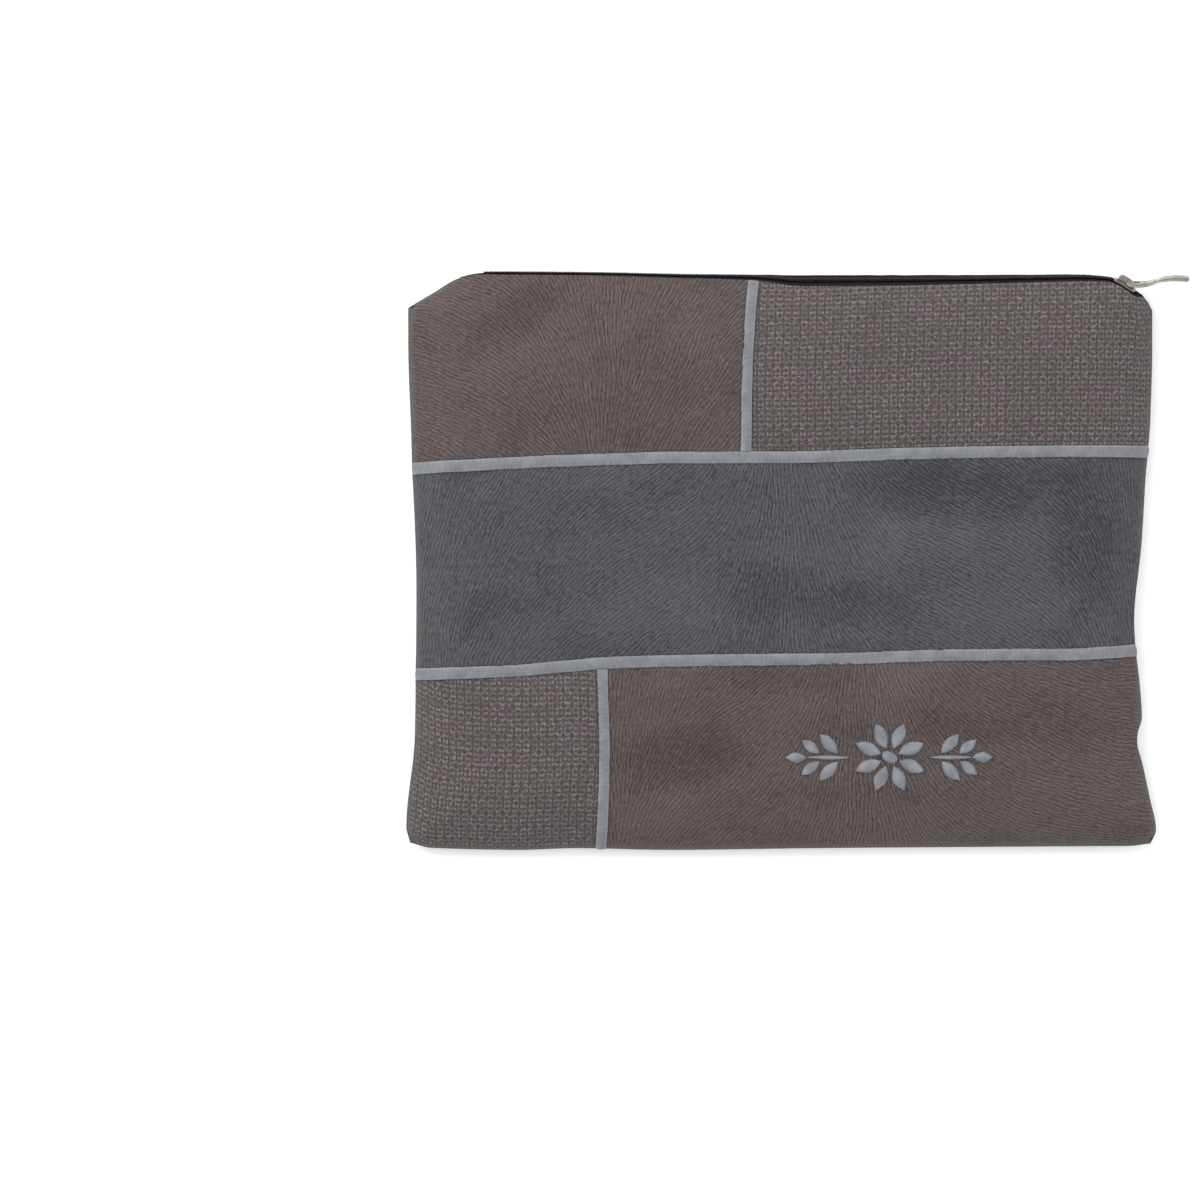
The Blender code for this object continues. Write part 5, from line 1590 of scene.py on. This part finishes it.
for a, b, start in ((EYE_BAR / 2 + 0.7 * MM, -half + 0.7 * MM, 180), (EYE_LENGTH - 0.9 * MM, -half + 0.9 * MM, 270),
                    (EYE_LENGTH - 0.9 * MM, half - 0.9 * MM, 0), (EYE_BAR / 2 + 0.7 * MM, half - 0.7 * MM, 90)):
    radius = 0.7 * MM if start in (180, 90) else 0.9 * MM
    for step in range(5):
        angle = math.radians(start + step * 22.5)
        eye_outline.append((a + radius * math.cos(angle), b + radius * math.sin(angle)))
eye = prism("eye", eye_outline, -4 * MM, 4 * MM, flat)
with_boolean(pull, [eye], "DIFFERENCE")
rounded(pull, 0.14 * MM)
HINGE_TURN = SLIDER_TURN @ Matrix.Translation((1.8 * MM, 3.0 * MM, 0))
pull.data.transform(HINGE_TURN @ Matrix.Rotation(PULL_REST, 4, "Z"))
print("pull faces:", len(pull.data.polygons))


# %% Worn nickel
def worn_nickel(name, clean, worn):
    """Satin nickel with fine scratches, and warmer darker spots of wear."""
    finish = Finish(name, 0.3, 1.0)
    room, *_ = finish.place_in_space()
    blot = finish.noise(room, 260.0, 3.0, 0.6).rise(0.35, 0.7)
    fine = finish.noise(room, 2600.0, 3.0, 0.7)
    color = finish.mix(blot * 0.7, clean, worn)
    rough = 0.24 + blot * 0.12 + fine * 0.08
    return finish.use(color=color, roughness=rough, normal=finish.relief(fine, 0.012 * MM))


# The slider's nickel is a darker copy of the pull's: painted shade. The spots in both are wear.
for piece, material in (
    (slider, worn_nickel("worn_nickel_slider_painted_shade", (0.32, 0.30, 0.255), (0.115, 0.105, 0.080))),
    (pull, worn_nickel("worn_nickel_pull", (0.395, 0.375, 0.325), (0.200, 0.185, 0.150))),
):
    piece.data.materials.clear()
    piece.data.materials.append(material)

# %% [markdown]
# ## The stitched ornament
#
# The panel below the lower ribbon carries a raised satin-stitch ornament: a
# rosette with leafy sprays. A stitched field is threads laid side by side over
# padding, from edge to edge, so it is built that way. One arched thread is
# made, and the copies tree lays it across each field, every thread as long as
# the field is wide at that place. The threads stand on the settled cloth.

# %% A place on the settled cloth
def read_net(field, s, t):
    """Values of a net field at net places, between its rows and columns."""
    i = np.clip(np.searchsorted(columns, s, side="right") - 1, 0, len(columns) - 2)
    j = np.clip(np.searchsorted(rows, t, side="right") - 1, 0, len(rows) - 2)
    a = ((s - columns[i]) / (columns[i + 1] - columns[i]))[..., None]
    b = ((t - rows[j]) / (rows[j + 1] - rows[j]))[..., None]
    low = field[j, i] * (1 - a) + field[j, i + 1] * a
    high = field[j + 1, i] * (1 - a) + field[j + 1, i + 1] * a
    return low * (1 - b) + high * b


def share_between(value, first, second):
    """0 to 1 up to first, 1 to 2 up to second, and 2 to 3 beyond."""
    return np.where(value < first, (value + 1) / (first + 1), np.where(
        value < second, 1 + (value - first) / (second - first), 2 + (value - second) / (1 - second)))


def on_cloth(u, v, height):
    """Points over the settled front, and the outward direction there."""
    u, v = np.broadcast_arrays(np.asarray(u, float), np.asarray(v, float))

    def place(du, dv):
        a, b = np.clip(u + du, -1, 1), np.clip(v + dv, -1, 1)
        s = share_between(a, through(LOWER_UPRIGHT, 1, b), through(UPPER_UPRIGHT, 1, b))
        t = share_between(b, through(LOWER_JOIN, 1, a), through(UPPER_JOIN, 1, a))
        return read_net(front_net, np.clip(s, 0, 3), np.clip(t, 0, 3))

    reach_u, reach_v = 2.2 * MM / (BAG_WIDTH / 2), 2.2 * MM / (BAG_HEIGHT / 2)
    out = np.cross(place(reach_u, 0) - place(-reach_u, 0), place(0, reach_v) - place(0, -reach_v))
    out /= np.linalg.norm(out, axis=-1, keepdims=True)
    return place(0, 0) + out * np.asarray(height)[..., None], out


# %% One thread, and the fields it fills
MOTIF_MIDDLE = (0.291, -0.679)
MOTIF_HALF = (50 * MM, 18 * MM)
THREAD_PITCH = 0.46 * MM
THREAD_WIDTH = 0.60 * MM
THREAD_RISE = 1.35 * MM


def arched_thread(name):
    """A thread of length 1 along Y that rises to height 1 along Z, width 1."""
    rings = []
    for y in (-0.5, -0.485, -0.44, -0.34, -0.18, 0.0, 0.18, 0.34, 0.44, 0.485, 0.5):
        middle = (1 - abs(2 * y) ** 3.2) * 0.86
        end = 0.5 if abs(y) == 0.5 else 1.0
        rings.append([
            (0.5 * end * math.cos(a), y, middle + 0.14 * end * math.sin(a))
            for a in (0, math.pi / 4, math.pi / 2, 3 * math.pi / 4, math.pi, 4.7124)
        ])
    return tube(name, rings)


def lens_field(cx, cy, turn, length, width):
    """Middles, spans and directions of the threads across a pointed leaf."""
    count = int(length / THREAD_PITCH)
    place = (np.arange(count) + 0.5) / count * 2 - 1
    span = (1 - place**2) * width + 0.5 * MM
    angle = math.radians(turn)
    x = cx + place * length / 2 * math.cos(angle)
    y = cy + place * length / 2 * math.sin(angle)
    return x, y, span, np.full(count, angle)


def round_field(radius):
    count = int(2 * radius / THREAD_PITCH)
    place = (np.arange(count) + 0.5) / count * 2 - 1
    span = np.sqrt(np.maximum(1 - place**2, 0.02)) * 2 * radius
    return place * radius, place * 0, span, np.full(count, 0.35)


# Leaves of one side: middle across and up, turn in degrees, length and width
LEAVES = [
    (0.59, 0.37, 47, 0.245, 0.29), (0.59, -0.37, -47, 0.245, 0.29),
    (0.765, 0.29, 38, 0.205, 0.25), (0.765, -0.29, -38, 0.205, 0.25), (0.905, 0.0, 0, 0.190, 0.26),
]
half_width, half_height = MOTIF_HALF
fields = {"motif_button": round_field(0.19 * half_height)}
for number in range(8):
    turn = 45 * (number + 0.5)
    away = 0.625 * half_height
    middle = (away * math.cos(math.radians(turn)), away * math.sin(math.radians(turn)))
    fields[f"motif_petal_{number + 1}"] = lens_field(*middle, turn, 0.71 * half_height, 0.32 * half_height)
for side, hand in ((1, "right"), (-1, "left")):
    for number, (across, up, turn, length, width) in enumerate(LEAVES):
        fields[f"motif_{hand}_leaf_{number + 1}"] = lens_field(
            side * across * half_width, up * half_height, turn if side > 0 else 180 - turn,
            length * half_width, width * half_height)
    fields[f"motif_{hand}_stem"] = lens_field(
        side * 0.5975 * half_width, 0.0, 0, 0.395 * half_width, 0.085 * half_height)


def thread_satin(name):
    finish = Finish(name, 0.45, sheen_weight=0.1, sheen_roughness=0.35, specular_ior_level=0.4)
    room, *_ = finish.place_in_space()
    tone = finish.noise(room, 160.0, 2.0)
    fibre = finish.noise(room, 3200.0, 2.0, 0.6)
    color = finish.mix(tone.rise(0.3, 0.7) * 0.6 + fibre * 0.4, (0.145, 0.149, 0.172), (0.262, 0.268, 0.300))
    return finish.use(color=color, roughness=0.36 + fibre * 0.2, normal=finish.relief(fibre, 0.02 * MM))


silver_thread = thread_satin("silver_grey_thread")
one_thread = arched_thread("one_thread")
stitches = {}
for seed, (node, (x, y, span, angle)) in enumerate(fields.items()):
    u = MOTIF_MIDDLE[0] + x / (BAG_WIDTH / 2)
    v = MOTIF_MIDDLE[1] + y / (BAG_HEIGHT / 2)
    dice = np.random.default_rng(seed + 90)
    span = span * dice.uniform(0.97, 1.05, len(span))
    slant = angle + math.radians(6) + dice.uniform(-0.03, 0.03, len(span))
    points, out = on_cloth(u, v, np.full(len(u), 0.02 * MM))
    forward = np.stack([np.cos(slant), np.sin(slant), slant * 0], -1)
    forward -= out * (forward * out).sum(-1, keepdims=True)
    across = np.cross(out, forward)
    sizes = np.stack([
        np.full(len(span), THREAD_WIDTH), span, THREAD_RISE * np.clip(span / (3.2 * MM), 0.45, 1) ** 0.5], -1)
    stitches[node] = copies(
        f"{node}_threads", one_thread, silver_thread, points, forward, across, sizes, 0.04, seed)
bpy.data.objects.remove(one_thread, do_unlink=True)

# %% [markdown]
# ## Stitches that hold it together
#
# A ribbon is sewn down from below, so hardly any thread shows: only a row of
# short stitches where each of its edges meets the cloth, sunk a little into it.
# Their near-black colour is partly painted shade, for the dimples they pull
# into the cloth. The zip tapes have a row too, along the edge where the cloth
# is sewn on. One small stitch is repeated along all of these lines.

# %% A stitch and the rows of stitches
def short_stitch(name):
    """A stitch of length 1 along X that dips into the cloth at both ends."""
    rings = []
    for x in (-0.5, -0.42, -0.25, 0.0, 0.25, 0.42, 0.5):
        level = 0.5 - 2.2 * x * x
        rings.append([(x, 0.5 * math.cos(a), level + 0.5 * math.sin(a))
                      for a in (2 * math.pi * k / 6 for k in range(6))])
    return tube(name, rings)


def seam_thread(name, dark, light):
    finish = Finish(name, 0.7, specular_ior_level=0.25)
    room, *_ = finish.place_in_space()
    fibre = finish.noise(room, 2200.0, 2.0, 0.6)
    return finish.use(color=finish.mix(fibre, dark, light), normal=finish.relief(fibre, 0.02 * MM))


STITCH_LENGTH = 2.3 * MM
STITCH_PITCH = 3.7 * MM
one_stitch = short_stitch("one_stitch")
# seam thread with painted shade: near black for the shade of the stitch dimples
thread_with_painted_shade = seam_thread("seam_thread_painted_shade", (0.022, 0.020, 0.022), (0.060, 0.056, 0.060))
tape_thread = seam_thread("aubergine_seam_thread", (0.010, 0.006, 0.010), (0.040, 0.022, 0.036))


def stitch_row(name, points, out, material, seed, pitch=STITCH_PITCH):
    """Stitches a pitch apart along a line of points."""
    run = np.concatenate([[0], np.cumsum(np.linalg.norm(np.diff(points, axis=0), axis=1))])
    stops = np.arange(pitch, run[-1] - pitch, pitch)
    place = np.stack([np.interp(stops, run, points[:, k]) for k in range(3)], -1)
    ahead = np.stack([np.interp(stops + 0.5 * MM, run, points[:, k]) for k in range(3)], -1)
    up = np.stack([np.interp(stops, run, out[:, k]) for k in range(3)], -1)
    along = ahead - place
    return copies(name, one_stitch, material, place, along, np.cross(up, along),
                  (STITCH_LENGTH, 0.42 * MM, 0.30 * MM), 0.12, seed)


seam_rows = {}
for seed, (node, (u, v, width, lies_up)) in enumerate(RIBBON_LINES.items()):
    for side in (-1, 1):
        aside = side * (width / 2 + 0.22 * MM)
        a = np.clip(u + (aside / (BAG_WIDTH / 2) if lies_up else 0), -1, 1)
        b = np.clip(v + (0 if lies_up else aside / (BAG_HEIGHT / 2)), -1, 1)
        points, out = on_cloth(a, b, np.zeros(len(a)))
        hand = ("left" if side < 0 else "right") if lies_up else ("low" if side < 0 else "high")
        name = f"{node}_{hand}_stitches"
        seam_rows[name] = stitch_row(name, points, out, thread_with_painted_shade, 200 + seed * 2 + side)
line = np.linspace(CHAIN_START, CHAIN_END - 0.02, 400)
middle, across, out, half_band = zip_frames(line)
for side, hand in ((1, "front"), (-1, "back")):
    edge = middle + across * (side * np.maximum(half_band - 1.1 * MM, 2.4 * MM))[:, None]
    name = f"zip_{hand}_tape_stitches"
    seam_rows[name] = stitch_row(name, edge - out * 0.05 * MM, out, tape_thread, 240 + side, 2.6 * MM)
bpy.data.objects.remove(one_stitch, do_unlink=True)

# %% [markdown]
# ## Which body carries each piece
#
# Every piece rides on a body of the imported part, stands for the solids that it
# dresses, and names the material slot that it fills. For the five front cloth
# pieces, the size of the flat cloth they are cut from is listed.

# %% Riding, replacing and slots
BACK_NODES = ["back_panel", "back_left_edge", "back_right_edge", "back_top_edge", "back_bottom_edge"]
DRESSING = [
    (panels["upper_left"], "bag", ["upper_left_panel"], "brown_suede"),
    (panels["upper_right"], "bag", ["upper_right_panel"], "woven_cloth"),
    (panels["middle"], "bag", ["middle_band"], "slate_suede"),
    (panels["lower_left"], "bag", ["lower_left_panel"], "woven_cloth"),
    (panels["lower_right"], "bag", ["lower_right_panel"], "brown_suede"),
    (back_cloth, "bag", BACK_NODES, "back_cloth"),
    *[(piece, "bag", [node], "ribbon") for node, piece in ribbons.items()],
    *[(piece, "bag", [node], "zip_tape") for node, piece in tapes.items()],
    (coil_rows[0], "bag", ["zip_chain"], "zip_chain"),
    (coil_rows[1], "bag", ["zip_chain"], "zip_chain"),
    (slider, "bag", ["zip_slider"], "nickel"),
    (pull, "pull", ["zip_pull"], "nickel"),
    *[(piece, "bag", [node], "thread") for node, piece in stitches.items()],
]
for piece, body, nodes, slot in DRESSING:
    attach(piece, body)
    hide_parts(*nodes)
for name, piece in seam_rows.items():
    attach(piece, "bag")
print("dressed pieces:", len(DRESSING), "rows of stitches:", len(seam_rows))

# %% The cut of each cloth piece
# Width and length of the cut in metres, its area, and what is sewn onto it
CUTS = {
    "upper_left": (0.172, 0.095, 0.0152, ["upper_upright_ribbon"]),
    "upper_right": (0.205, 0.088, 0.0168, []),
    "middle": (0.366, 0.101, 0.0358, ["upper_ribbon", "lower_ribbon"]),
    "lower_left": (0.098, 0.096, 0.0088, ["lower_upright_ribbon"]),
    "lower_right": (0.272, 0.099, 0.0260, []),
}
for name, (width, length, area, sewn_on) in CUTS.items():
    on_it = [ribbons[node] for node in sewn_on]
    on_it += [piece for row, piece in seam_rows.items() if any(row.startswith(node) for node in sewn_on)]
    if name == "lower_right":
        on_it += list(stitches.values())
